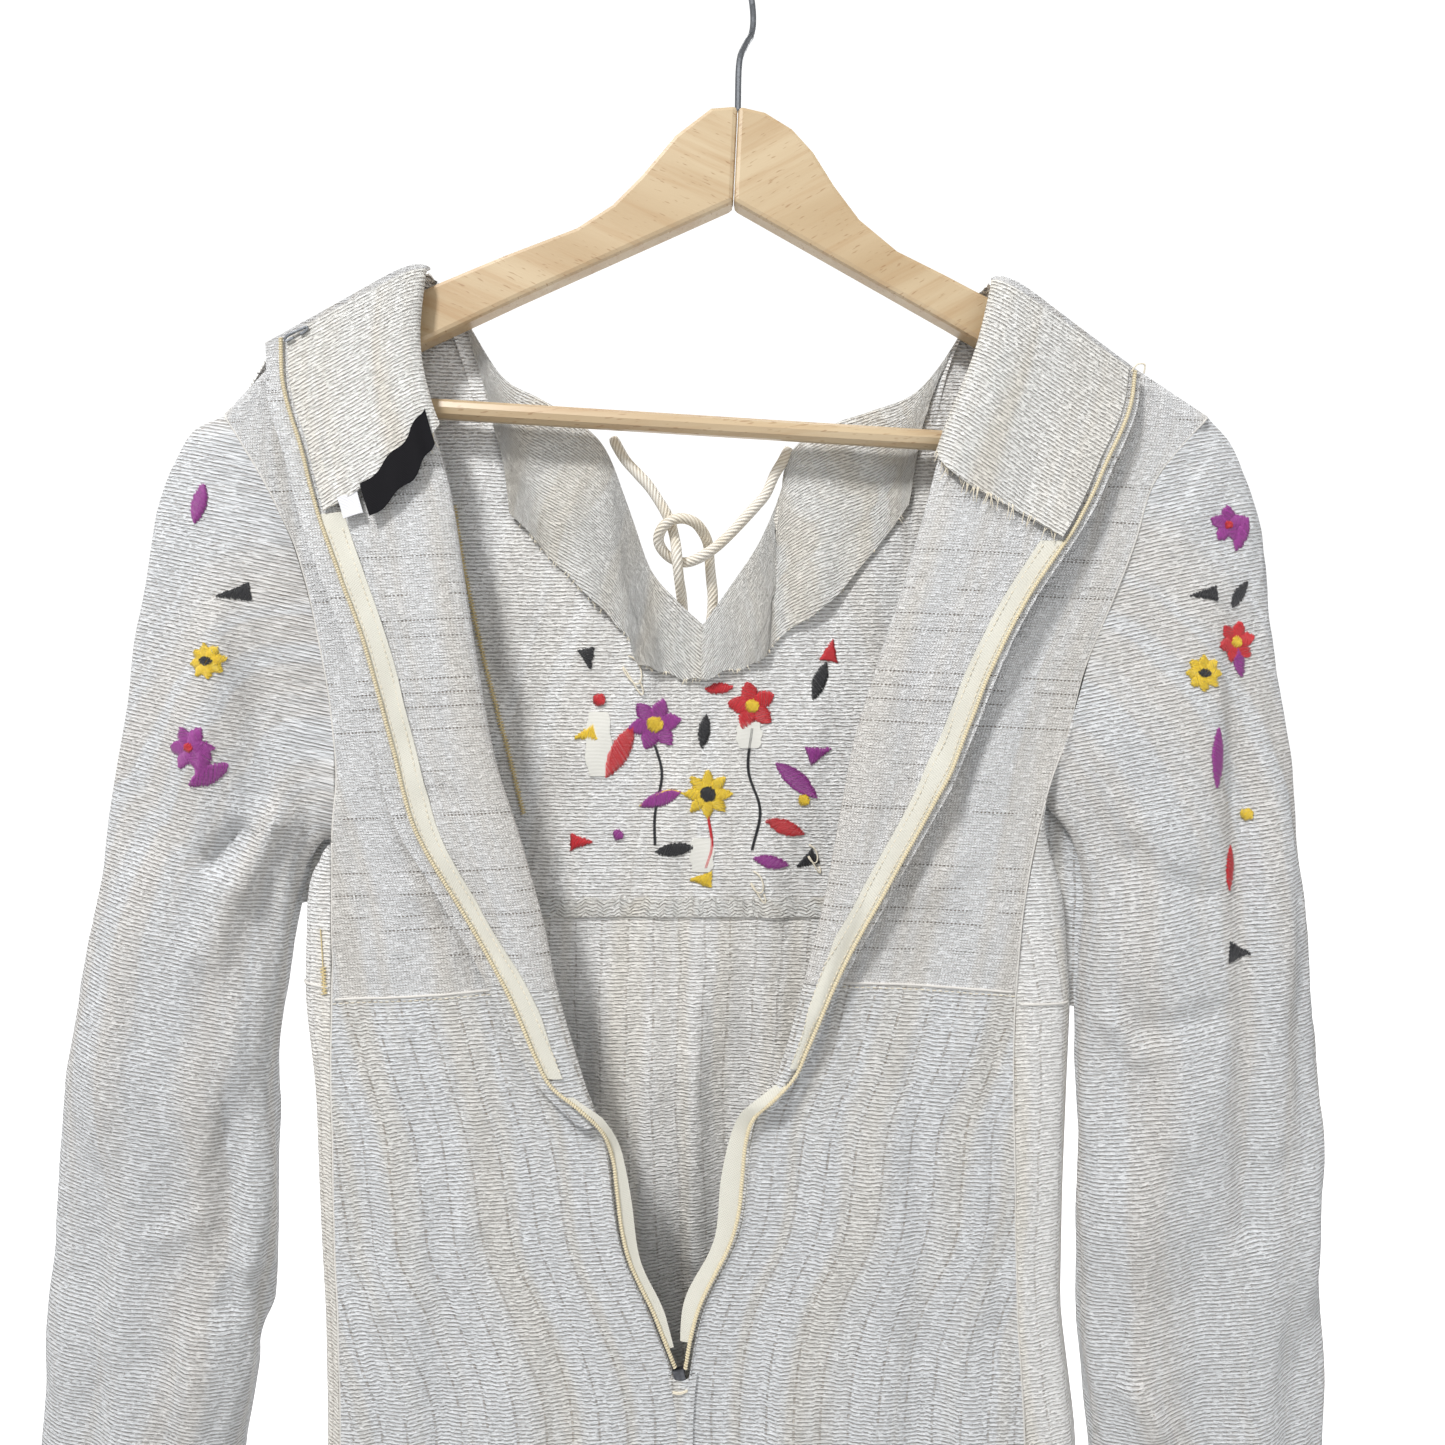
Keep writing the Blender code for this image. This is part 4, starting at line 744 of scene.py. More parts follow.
def cotton(name, light, deep, rib=1.0, even=False, columns=0.0, warmth=0.0):
    """Handwoven slubby cotton: crinkled ribs across, slub columns along, and brown seed specks.

    Undyed and washed, never pressed: it scatters light softly, with no gloss. The bodice's weave is
    even, and a few of its picks are left out here and there.
    """
    material, node = new_material(name, 0.95, Specular_IOR_Level=0.2, Sheen_Weight=0.08, Sheen_Roughness=0.6)
    slub = spots(node, (0.075, 0.003), 3.0, 0.6)
    zigzag = node(RANGE, {0: slub, 1: 0.42, 2: 0.58, 4: 2.4 * columns}, **SMOOTH)
    broken = node(RANGE, {0: spots(node, (0.30, 0.7), 2.0, 0.6), 1: 0.34, 2: 0.60, 3: 0.2}, **SMOOTH)
    ribs = threads(node, RIB_PITCH, "Y", 1.5, Phase_Offset=zigzag)
    if even:
        weft = threads(node, GRID_PITCH, "Y")
        warp = threads(node, GRID_PITCH)
        both = [node(RANGE, {0: way, 2: 0.8}, **SMOOTH) for way in (warp, weft)]
        ribs = node(MATH, dict(enumerate(both)), operation="MINIMUM")
    gap = node(MATH, {0: node(RANGE, {0: ribs, 1: 0.62, 2: 0.05}, **SMOOTH), 1: broken}, operation="MULTIPLY")
    lumps = node(MATH, {0: spots(node, (0.42, 1.3), 2.0, 0.6), 1: 0.7}, operation="MULTIPLY")
    depth = node(MATH, {0: gap, 1: rib}, operation="MULTIPLY")
    height = node(MATH, {0: lumps, 1: depth}, operation="SUBTRACT")

    bands = node(MATH, {0: slub, 1: 0.25, 2: spots(node, (0.045, 0.002))}, operation="MULTIPLY_ADD")
    links = {0: node(RANGE, {0: bands, 1: 0.52, 2: 0.80}, **SMOOTH), 6: light, 7: deep}
    colour = node(MIX, links, **COLOURS).outputs[2]
    shade = node(MATH, {0: gap, 1: 0.48 * rib}, operation="MULTIPLY")
    colour = node(MIX, {0: shade, 6: colour, 7: GAP_COLOUR}, **COLOURS).outputs[2]
    if columns:
        ends = threads(node, SLUB_PITCH, "X", 2.2, Detail_Scale=0.35)
        ends = node(RANGE, {0: ends, 1: 0.975, 2: 0.998}, **SMOOTH)
        links = {0: spots(node, (0.02, 1.0), 1.0), 1: 0.46, 2: 0.60, 4: 0.4 * columns}
        line = node(MATH, {0: ends, 1: node(RANGE, links, **SMOOTH)}, operation="MULTIPLY")
        colour = node(MIX, {0: line, 6: colour, 7: "#8A7153"}, **COLOURS).outputs[2]
        height = node(MATH, {0: height, 1: line}, operation="SUBTRACT")
    fleck = node(RANGE, {0: spots(node, (0.8, 1.8), 1.0), 1: 0.72, 2: 0.78, 4: 0.7}, **SMOOTH)
    colour = node(MIX, {0: fleck, 6: colour, 7: "#7C6147"}, **COLOURS).outputs[2]
    if even:
        # The missing picks show as rows of short dark dashes.
        holes = 1.0
        for source, low, high in (
            (spots(node, (0.0012, 0.30), 1.0), 0.60, 0.66),
            (threads(node, DASH_PITCH, "X", 0.5), 0.45, 0.75),
            (spots(node, (0.045, 0.05), 1.0), 0.36, 0.52),
            (weft, 0.75, 0.35),
        ):
            part = node(RANGE, {0: source, 1: low, 2: high}, **SMOOTH)
            holes = node(MATH, {0: part, 1: holes}, operation="MULTIPLY")
        shade = node(MATH, {0: holes, 1: 0.7}, operation="MULTIPLY")
        colour = node(MIX, {0: shade, 6: colour, 7: "#6E5B47"}, **COLOURS).outputs[2]
        height = node(MATH, {0: height, 1: holes}, operation="SUBTRACT")
    if warmth:
        colour = node(MIX, {0: warmth, 6: colour, 7: "#D9C59A"}, **COLOURS).outputs[2]
    return dressed(material, colour, height, 1.0, 0.0016)


def rolled_cotton(name, colour, shade):
    """A rolled bias strip: the cotton's threads run slantwise round it as fine ridges, with painted shade in
    the grooves between them.
    """
    material, node = new_material(name, 0.9, Specular_IOR_Level=0.2, Sheen_Weight=0.1)
    twill = threads(node, 1.7, "X", 0.7, turn=0.75, Detail=1.0)
    soft = node(RANGE, {0: spots(node, (0.05, 0.05)), 1: 0.35, 2: 0.65}, **SMOOTH)
    base = node(MIX, {0: soft, 6: colour, 7: shade}, **COLOURS).outputs[2]
    # Painted shade: the grooves between the twill's ridges are darkened.
    dark = node(RANGE, {0: twill, 1: 0.05, 2: 0.5, 3: 0.45, 4: 0.0}, **SMOOTH)
    base = node(MIX, {0: dark, 6: base, 7: "#8E7A62"}, **COLOURS).outputs[2]
    return dressed(material, base, twill, 0.8, 0.0005)


def thread_material(name, colour, shade, roughness=0.6):
    """Twisted thread: fine slanted plies along it, a little sheen."""
    material, node = new_material(name, roughness, Sheen_Weight=0.2)
    place = node("ShaderNodeTexCoord").outputs["Object"]
    spot = node("ShaderNodeTexNoise", {"Vector": place, "Scale": 900.0, "Detail": 2.0}).outputs["Fac"]
    base = node(MIX, {0: spot, 6: colour, 7: shade}, **COLOURS).outputs[2]
    return dressed(material, base, spot, 0.4, 0.0003)


def tape_material():
    """Polyester zip tape: a fine herringbone, slightly glossy, yellowed with age, with painted shade in its
    grooves.
    """
    material, node = new_material("zip_tape_herringbone", 0.7, Sheen_Weight=0.15)
    waves = [threads(node, 0.9, turn=turn) for turn in (0.9, -0.9)]
    twill = node(MATH, dict(enumerate(waves)), operation="MAXIMUM").outputs[0]
    links = {0: spots(node, (0.06, 0.03)), 6: "#E0DFD4", 7: "#D3D0C4"}
    base = node(MIX, links, **COLOURS).outputs[2]
    # Painted shade: the grooves of the herringbone are darkened.
    dark = node(RANGE, {0: twill, 1: 0.2, 2: 0.8, 3: 0.25, 4: 0.0}, **SMOOTH)
    base = node(MIX, {0: dark, 6: base, 7: "#BDB193"}, **COLOURS).outputs[2]
    return dressed(material, base, twill, 0.5, 0.0003)


def beech(name, turn):
    """Steamed beech, planed, eased and lacquered: straight grain with short dark ray flecks."""
    material, node = new_material(name, 0.42, Coat_Weight=0.25, Coat_Roughness=0.25)
    place = node("ShaderNodeTexCoord").outputs["Object"]
    turned = node("ShaderNodeMapping", {"Vector": place, "Rotation": (0, turn, 0)})
    base = "#C8B391"
    for scale, detail, low, high, most, dark in (
        ((4.0, 30.0, 26.0), 2.0, 0.3, 0.7, 1.0, "#B69C77"),
        ((9.0, 120.0, 170.0), 4.0, 0.45, 0.75, 0.5, "#A98255"),
        ((150.0, 500.0, 900.0), 1.0, 0.64, 0.72, 0.55, "#8F673F"),
    ):
        stretched = node("ShaderNodeMapping", {"Vector": turned, "Scale": scale})
        links = {"Vector": stretched, "Scale": 1.0, "Detail": detail, "Roughness": 0.6}
        grain = node("ShaderNodeTexNoise", links).outputs["Fac"]
        share = node(RANGE, {0: grain, 1: low, 2: high, 4: most}, **SMOOTH)
        base = node(MIX, {0: share, 6: base, 7: dark}, **COLOURS).outputs[2]
    return dressed(material, base, grain, 0.15, 0.0003)


def metal(name, colour, roughness):
    """Plated steel or zinc: drawn and tumbled, with faint scratches that blur its gloss."""
    material, node = new_material(name, roughness, Metallic=1.0)
    links = {"Vector": node("ShaderNodeTexCoord").outputs["Object"], "Scale": 600.0, "Detail": 3.0}
    spot = node("ShaderNodeTexNoise", links).outputs["Fac"]
    base = node(MIX, {0: spot, 6: colour, 7: "#3A3B3E"}, **COLOURS).outputs[2]
    worn = node(RANGE, {0: spot, 1: 0.3, 2: 0.7, 3: roughness, 4: roughness + 0.175}, **SMOOTH)
    inputs = material.node_tree.nodes["Principled BSDF"].inputs
    material.node_tree.links.new(base, inputs["Base Color"])
    material.node_tree.links.new(worn.outputs[0], inputs["Roughness"])
    return material


def woven_label(name, colour, shade, sheen):
    """Damask label or satin tape: fine threads across, a dull gloss, nothing written on it."""
    material, node = new_material(name, 0.8, Specular_IOR_Level=0.15, Sheen_Weight=sheen)
    rows = threads(node, 0.7, "Y", 0.6)
    base = node(MIX, {0: rows, 6: colour, 7: shade}, **COLOURS).outputs[2]
    return dressed(material, base, rows, 0.4, 0.0002)


def make_finishes():
    """Every finish of the garment and its hanger, by the name of what it is."""
    return {
        "bodice": cotton("bodice_cotton", "#EEEFF0", "#E9E6E1", rib=0.55, even=True),
        # The front yoke's inside is a paler copy of the bodice cotton: painted light that brightens the
        # shaded inside of the front.
        "bodice_inside_painted_light": cotton("bodice_cotton_inside_painted_light", "#FAFAF9", "#F4F2EE", rib=0.8, columns=0.3),
        "skirt": cotton("skirt_cotton", "#E6E8EA", "#E5E3DE", rib=0.8, columns=1.0),
        # The front skirt's inside is a paler copy of the skirt cotton: painted light that brightens the
        # shaded inside of the front.
        "skirt_inside_painted_light": cotton("skirt_cotton_inside_painted_light", "#FAF9F7", "#F4F0E8", rib=0.65, columns=0.8),
        "sleeve": cotton("sleeve_cotton", "#E2E4E6", "#E1DFDC", rib=0.8, columns=0.15),
        "facing": cotton("facing_cotton", "#F0F0ED", "#EAE6DD", rib=0.8, columns=0.3, warmth=0.02),
        "seam_fold": cotton("seam_fold_cotton", "#E9E8E5", "#E1DCD2", rib=0.5),
        "tie": rolled_cotton("rolled_tie_cotton", "#EFEADF", "#E2D8C4"),
        "tape": tape_material(),
        "coil": thread_material("zip_coil_nylon", "#E6DCC0", "#CDBD97", 0.45),
        "cream_thread": thread_material("cream_sewing_thread", "#EFE8D8", "#D8CCB2"),
        "overlock": thread_material("overlock_thread", "#E4D3A2", "#C7AE74"),
        "magenta": thread_material("magenta_embroidery_floss", "#A63C9C", "#7E2378", 0.45),
        "red": thread_material("red_embroidery_floss", "#DB2530", "#A9131F", 0.45),
        "yellow": thread_material("yellow_embroidery_floss", "#F3D83A", "#D2A91C", 0.45),
        "black": thread_material("black_embroidery_floss", "#1B1B22", "#08080B", 0.45),
        "label": woven_label("black_damask_label", "#131217", "#08070A", 0.04),
        "size_tab": woven_label("white_satin_tab", "#F1F1F3", "#D6D6DA", 0.3),
        "backing": woven_label("embroidery_backing", "#E9E8E2", "#DAD8CF", 0.1),
        "hook_steel": metal("zinc_plated_wire", "#9FA3A8", 0.28),
        "slider": metal("dark_zinc_slider", "#5A5B60", 0.38),
        "beech_left": beech("beech_left_arm", math.radians(-24)),
        "beech_right": beech("beech_right_arm", math.radians(28)),
        "beech_bar": beech("beech_bar", math.radians(3)),
    }


SHARP_ANGLE = 55  # degrees, above which an edge of the cloth shows crisp


def put_in_scene(name, mesh, material=None):
    """A new object of a finished mesh."""
    if material:
        mesh.materials.append(material)
    obj = bpy.data.objects.new(name, mesh)
    bpy.context.scene.collection.objects.link(obj)
    return obj


def mesh_of(name, bm):
    """Turns a bmesh into a smooth mesh."""
    mesh = bpy.data.meshes.new(name)
    bm.to_mesh(mesh)
    bm.free()
    mesh.shade_smooth()
    return mesh


def add_object(name, points, quads, weave, material, triangles=()):
    """A mesh object from points in millimetres, with the cloth's own place at each face corner."""
    mesh = bpy.data.meshes.new(name)
    triangles = np.asarray(triangles, int).reshape(-1, 3)
    mesh.vertices.add(len(points))
    mesh.vertices.foreach_set("co", (np.asarray(points, float) * MM).ravel())
    corners = np.concatenate([quads.ravel(), triangles.ravel()]).astype(np.int32)
    mesh.loops.add(len(corners))
    mesh.loops.foreach_set("vertex_index", corners)
    starts = [np.arange(0, quads.size, 4), quads.size + np.arange(0, triangles.size, 3)]
    mesh.polygons.add(len(quads) + len(triangles))
    mesh.polygons.foreach_set("loop_start", np.concatenate(starts).astype(np.int32))
    mesh.update(calc_edges=True)
    places = np.zeros((len(corners), 2))
    places[: quads.size] = weave.reshape(-1, 2) * MM
    mesh.uv_layers.new(name="weave").data.foreach_set("uv", places.ravel())
    mesh.shade_smooth()
    mesh.set_sharp_from_angle(angle=math.radians(SHARP_ANGLE))
    return put_in_scene(name, mesh, material)


def arc_places(grid, wraps):
    """How far along the cloth each grid point lies, across and down, in millimetres."""
    closed = np.concatenate([grid, grid[:, :1]], axis=1) if wraps else grid
    across, down = (np.cumsum(np.linalg.norm(np.diff(closed, axis=k), axis=2), axis=k) for k in (1, 0))
    across = np.pad(across, ((0, 0), (1, 0)))
    across -= across[:, across.shape[1] // 2][:, None]
    return np.stack([across, np.pad(down, ((1, 0), (0, 0)))], axis=-1)


def level_places(grid, slope=0.0):
    """The weave's place on a panel that hangs with its picks level, or rising to the right by slope."""
    place = arc_places(grid, False)
    place[..., 1] = slope * grid[..., 0] - grid[..., 2]
    return place


def grid_area(grid, cells, wraps):
    """The area in square metres of a grid's cells."""
    closed = np.concatenate([grid, grid[:, :1]], axis=1) if wraps else grid
    a, b = closed[:-1, :-1], closed[:-1, 1:]
    c, d = closed[1:, 1:], closed[1:, :-1]
    halves = np.linalg.norm(np.cross(b - a, d - a), axis=2) + np.linalg.norm(np.cross(b - c, d - c), axis=2)
    return float((halves / 2 * cells).sum()) * MM * MM


def cloth_shell(name, grid, thickness, material, cells=None, wraps=False, place=None):
    """A thin closed shell on a grid of middle points. cells tells which of its cells there are."""
    rows, cols = grid.shape[:2]
    facing = normals(grid, wraps)
    cells = np.ones((rows - 1, cols if wraps else cols - 1), bool) if cells is None else cells
    points = [(grid + way * facing * thickness / 2).reshape(-1, 3) for way in (1, -1)]
    number = np.arange(rows * cols).reshape(rows, cols)
    number = np.concatenate([number, number[:, :1]], axis=1) if wraps else number
    place = arc_places(grid, wraps) if place is None else place
    every, every_place = (
        np.stack([table[:-1, :-1], table[:-1, 1:], table[1:, 1:], table[1:, :-1]], axis=2)
        for table in (number, place)
    )
    quads, corners = every[cells], every_place[cells]
    faces, weave = [quads, quads[:, ::-1] + rows * cols], [corners, corners[:, ::-1]]
    padded = np.pad(cells, 1)
    if wraps:
        padded[1:-1, 0], padded[1:-1, -1] = cells[:, -1], cells[:, 0]
    # A rim closes each side of a cell that has no neighbour there.
    beside = (padded[:-2, 1:-1], padded[1:-1, 2:], padded[2:, 1:-1], padded[1:-1, :-2])
    for first, neighbour in enumerate(beside):
        edge, second = padded[1:-1, 1:-1] & ~neighbour, (first + 1) % 4
        start, end = every[edge][:, first], every[edge][:, second]
        faces.append(np.stack([end, start, start + rows * cols, end + rows * cols], axis=-1))
        at_start, at_end = every_place[edge][:, first], every_place[edge][:, second]
        weave.append(np.stack([at_end, at_start, at_start, at_end], axis=1))
    used, faces = np.unique(np.concatenate(faces), return_inverse=True)
    faces, weave = faces.reshape(-1, 4), np.concatenate(weave)
    points = np.concatenate(points)[used]
    a, b, c, d = np.moveaxis(points[faces], 1, 0)
    if (a * (np.cross(b, c) + np.cross(c, d))).sum() < 0:
        faces, weave = faces[:, ::-1], weave[:, ::-1]
    return add_object(name, points, faces, weave, material)


def frames_along(points):
    """Two directions square to a path at each point, carried along it without twisting."""
    tangents = unit(np.gradient(points, axis=0))
    side = np.cross(tangents[0], [0.3, 0.5, 0.8])
    sides = []
    for tangent in tangents:
        side = side - tangent * (side @ tangent)
        side = side / np.linalg.norm(side)
        sides.append(side)
    sides = np.array(sides)
    return sides, np.cross(tangents, sides)


def tube_mesh(points, radii, count=8):
    """A round tube along points: its vertices, faces and the place of each face corner."""
    points = np.asarray(points, float)
    side, up = frames_along(points)
    run = run_along(points)
    angle = np.linspace(0, 2 * math.pi, count, endpoint=False)[None, :, None]
    radii = np.broadcast_to(np.asarray(radii, float), (len(points),))[:, None, None]
    rings = points[:, None] + radii * (np.cos(angle) * side[:, None] + np.sin(angle) * up[:, None])
    number = np.arange(len(points) * count).reshape(len(points), count)
    after = np.roll(number, -1, axis=1)
    faces = np.stack([number[:-1], after[:-1], after[1:], number[1:]], axis=-1).reshape(-1, 4)
    step = 2 * math.pi * float(radii.mean()) / count
    places = []
    for down, across in ((0, 0), (0, 1), (1, 1), (1, 0)):
        u = np.broadcast_to(step * (np.arange(count) + across), (len(points) - 1, count))
        v = np.broadcast_to(run[down : len(points) - 1 + down, None], (len(points) - 1, count))
        places.append(np.stack([u, v], axis=-1))
    weave = np.stack(places, axis=2).reshape(-1, 4, 2)
    vertices = np.concatenate([rings.reshape(-1, 3), points[[0, -1]]])
    first, last = len(vertices) - 2, len(vertices) - 1
    lids = [[first, after[0, k], number[0, k]] for k in range(count)]
    lids += [[last, number[-1, k], after[-1, k]] for k in range(count)]
    return vertices, faces, weave, np.array(lids)


def tubes_object(name, paths, radius, material, count=5, foot=1.0):
    """Many fine threads as one mesh of joined tubes, narrowed to the foot's share at their ends."""
    bm = bmesh.new()
    for path in paths:
        path = np.asarray(path, float)
        vertices, faces, _, lids = tube_mesh(path, radius * np.linspace(1.0, foot, len(path)), count)
        made = [bm.verts.new(tuple(v * MM)) for v in vertices]
        for face in (*faces, *lids):
            bm.faces.new([made[k] for k in face])
    bmesh.ops.recalc_face_normals(bm, faces=bm.faces)
    return put_in_scene(name, mesh_of(name, bm), material)


def repeat_tree(name):
    """Geometry Nodes that repeat a shape along a path, square to it and facing as the path says."""
    tree = bpy.data.node_groups.new(name, "GeometryNodeTree")
    node = partial(add_node, tree)
    for label, kind in (("Geometry", "Geometry"), ("Shape", "Object"), ("Spacing", "Float"),
                        ("Unevenness", "Float"), ("Seed", "Int"), ("Material", "Material")):
        tree.interface.new_socket(label, in_out="INPUT", socket_type=f"NodeSocket{kind}")
    tree.interface.new_socket("Geometry", in_out="OUTPUT", socket_type="NodeSocketGeometry")
    entry = node("NodeGroupInput").outputs
    curve = node("GeometryNodeMeshToCurve", {"Mesh": entry["Geometry"]})
    even = node("GeometryNodeResampleCurve", {"Curve": curve, "Length": entry["Spacing"]}, mode="LENGTH")
    tangent = node("GeometryNodeInputTangent")
    facing = node("GeometryNodeInputNamedAttribute", {"Name": "facing"}, data_type="FLOAT_VECTOR")
    turn = node("FunctionNodeAlignRotationToVector", {"Vector": tangent}, axis="X")
    links = {"Rotation": turn, "Vector": facing}
    turn = node("FunctionNodeAlignRotationToVector", links, axis="Z", pivot_axis="X")
    shape = node("GeometryNodeObjectInfo", {"Object": entry["Shape"]}).outputs["Geometry"]
    low = node(MATH, {0: 1.0, 1: entry["Unevenness"]}, operation="SUBTRACT")
    high = node(MATH, {0: 1.0, 1: entry["Unevenness"]}, operation="ADD")
    size = node("FunctionNodeRandomValue", {2: low, 3: high, "Seed": entry["Seed"]}, data_type="FLOAT")
    links = {"Points": even, "Instance": shape, "Rotation": turn, "Scale": size.outputs[1]}
    real = node("GeometryNodeRealizeInstances", {0: node("GeometryNodeInstanceOnPoints", links)})
    done = node("GeometryNodeSetMaterial", {"Geometry": real, "Material": entry["Material"]})
    node("NodeGroupOutput", {"Geometry": done})
    return tree


def stitch_shape(length, width, height, turn=0.0):
    """One stitch or tooth: a small rounded grain lying along X."""
    bm = bmesh.new()
    bmesh.ops.create_uvsphere(bm, u_segments=8, v_segments=5, radius=0.5)
    bmesh.ops.scale(bm, vec=(length * MM, width * MM, height * MM), verts=bm.verts)
    bmesh.ops.rotate(bm, verts=bm.verts, matrix=Matrix.Rotation(turn, 3, "Z"))
    return bpy.data.objects.new("stitch", mesh_of("stitch", bm))


def repeat_along(name, lines, facings, shape, spacing, material, unevenness, seed):
    """Copies of a shape along lines of points, made by Geometry Nodes and then a plain mesh."""
    edges, start = [], 0
    for line in lines:
        edges += [(k, k + 1) for k in range(start, start + len(line) - 1)]
        start += len(line)
    guide = bpy.data.meshes.new(name + "_guide")
    guide.from_pydata([tuple(p) for p in np.concatenate(lines) * MM], edges, [])
    layer = guide.attributes.new("facing", "FLOAT_VECTOR", "POINT")
    layer.data.foreach_set("vector", np.concatenate(facings).astype(np.float32).ravel())
    holder = put_in_scene(name + "_guide", guide)
    tree = bpy.data.node_groups.get("repeat_along_path") or repeat_tree("repeat_along_path")
    modifier = holder.modifiers.new("repeat", "NODES")
    modifier.node_group = tree
    values = {"Shape": shape, "Spacing": spacing * MM, "Unevenness": unevenness, "Seed": seed,
              "Material": material}
    for item in tree.interface.items_tree:
        if item.in_out == "INPUT" and item.name in values:
            modifier[item.identifier] = values[item.name]
    graph = bpy.context.evaluated_depsgraph_get()
    mesh = bpy.data.meshes.new_from_object(holder.evaluated_get(graph))
    mesh.name = name
    holder.modifiers.remove(modifier)
    for helper in (holder, shape):
        helper_mesh = helper.data
        bpy.data.objects.remove(helper)
        bpy.data.meshes.remove(helper_mesh)
    return put_in_scene(name, mesh)


def place_on(piece, slot, *nodes, body="root"):
    """Puts a finished piece on its body and hides the solids it stands for. The slot is not used."""
    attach(piece, body)
    if nodes:
        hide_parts(*nodes)


ALLOWANCE = 9.0  # height of the allowance above the front's empire seam
LEAST_SHARE = 0.4  # of its cut's rectangle, that a panel's area fills


def declare_cloth(grid, cells=None, wraps=False):
    """Works out the cut of a panel: the size it lies flat, and its own area within that. Nothing keeps it."""
    cells = np.ones((len(grid) - 1, grid.shape[1] - (0 if wraps else 1)), bool) if cells is None else cells
    place = arc_places(grid, wraps)
    width = float((place[:, -1, 0] - place[:, 0, 0]).max()) * MM
    length = float((place[-1, :, 1] - place[0, :, 1]).max()) * MM
    area = min(grid_area(grid, cells, wraps), width * length)
    width = min(width, area / (LEAST_SHARE * length))


def hang(node, grid, finish, thickness=None, cells=None, wraps=False, place=None):
    """Makes a solid's panel of cloth, puts it on the body in the solid's stead and works out its cut, which
    is not kept.
    """
    piece = cloth_shell(f"{node}_cloth", grid, thickness or thick(), FINISH[finish], cells, wraps, place)
    place_on(piece, "cloth", node)
    declare_cloth(grid, cells, wraps)
    return piece


class ClothSizes(bpy.types.PropertyGroup):
    """What a user would change in the cloth."""

    thickness: FloatProperty(name="Cloth thickness", description="Thickness of the slubby cotton",
                             default=1.1 * MM, unit="LENGTH")
    spacing: FloatProperty(name="Mesh spacing", description="Distance between the points of a panel",
                           default=2.5 * MM, unit="LENGTH")
    trim: FloatProperty(name="Trim thickness", description="Thickness of facings, tapes and labels",
                        default=0.7 * MM, unit="LENGTH")


class ZipSizes(bpy.types.PropertyGroup):
    """What a user would change in the zip."""

    pitch: FloatProperty(name="Coil pitch", description="Distance between the turns of the zip's coil",
                         default=1.25 * MM, unit="LENGTH")
    tooth: FloatProperty(name="Coil width", description="Width of one turn of the coil",
                         default=2.3 * MM, unit="LENGTH")


class SewingSizes(bpy.types.PropertyGroup):
    """What a user would change in the sewing."""

    stitch: FloatProperty(name="Stitch length", description="Distance from stitch to stitch in a row",
                          default=2.8 * MM, unit="LENGTH")
    satin: FloatProperty(name="Satin spacing", description="Distance between threads of the embroidery",
                         default=0.5 * MM, unit="LENGTH")


class StageLook(bpy.types.PropertyGroup):
    """What a user would change in the stage and its light."""

    focal: FloatProperty(name="Focal length", description="Focal length of the camera's lens in mm",
                         default=27.03)
    floor: FloatVectorProperty(name="Floor colour", description="Colour of the plain pale floor",
                               default=(0.93, 0.93, 0.93), subtype="COLOR", size=3)
    key: FloatProperty(name="Key light", description="Power of the key light in watts", default=40.0)
    fill: FloatProperty(name="Fill light", description="Power of the fill light in watts", default=5.0)


WHITE = (1.0, 1.0, 1.0, 1.0)
FLOOR_Z = -1.35  # m
WORLD_STRENGTH = 0.6
LIT_PLACE = (0.0, 0.0, -0.45)  # m: what the lights are turned to
# Each light's place and size in metres, its power's factor and its tint.
LIGHTS = [
    ("key", (-0.80, -1.22, 1.20), 0.30, 1.0, (1.0, 1.0, 1.0)),
    ("fill", (1.2, -1.4, -0.3), 1.4, 1.0, (0.96, 0.98, 1.0)),
    ("back", (0.3, 1.6, 0.6), 1.6, 3.4, (1.0, 1.0, 1.0)),
]
CAMERA_PLACE = (-7.4, -521.0, -365.4)  # mm: as near as a phone is held for this picture
AWAY = 120.0  # how far off the garment's middle plane a place is looked at from
FINISH = {}
SURFACE = {}
SEAMS = []  # routes of the seams' ridges
STITCHED = []  # rows of stitches, each with the side that it faces


def step():
    return bpy.context.scene.tunic_cloth.spacing / MM * 1.0


def thick():
    """The cotton's thickness in millimetres."""
    return bpy.context.scene.tunic_cloth.thickness / MM


def trim_thick():
    """The thickness of facings and tapes in millimetres."""
    return bpy.context.scene.tunic_cloth.trim / MM


def count_for(distance, least=2):
    """How many points a panel has over this distance in millimetres."""
    return max(least, int(round(distance / step())) + 1)


def remember(label, *objects):
    """Keeps a tree of these pieces' faces, so that sewing can be laid on them."""
    vertices, faces = [], []
    for obj in objects:
        start = len(vertices)
        vertices += [v.co for v in obj.data.vertices]
        faces += [[start + k for k in p.vertices] for p in obj.data.polygons]
    SURFACE[label] = BVHTree.FromPolygons(vertices, faces)


def laid_on(label, x, z, lift, way=1):
    """The point above a remembered surface at this place, seen along Y, or None beside it."""
    start = Vector((x * MM, -way * AWAY * MM, z * MM))
    hit, normal, _, _ = SURFACE[label].ray_cast(start, Vector((0, way, 0)))
    if hit is None:
        return None
    facing = np.array(normal) * (-1 if normal[1] * way > 0 else 1)
    return np.array(hit) / MM + facing * lift


def surround(name, finish, roughness, colour, glow, make, **sizes):
    """A part of the stage that shines evenly."""
    material, _ = new_material(finish, roughness, Base_Color=(*colour, 1.0), Specular_IOR_Level=0.0,
                               Emission_Color=WHITE, Emission_Strength=glow)
    bm = bmesh.new()
    make(bm, **sizes)
    piece = put_in_scene(name, mesh_of(name, bm), material)
    return piece


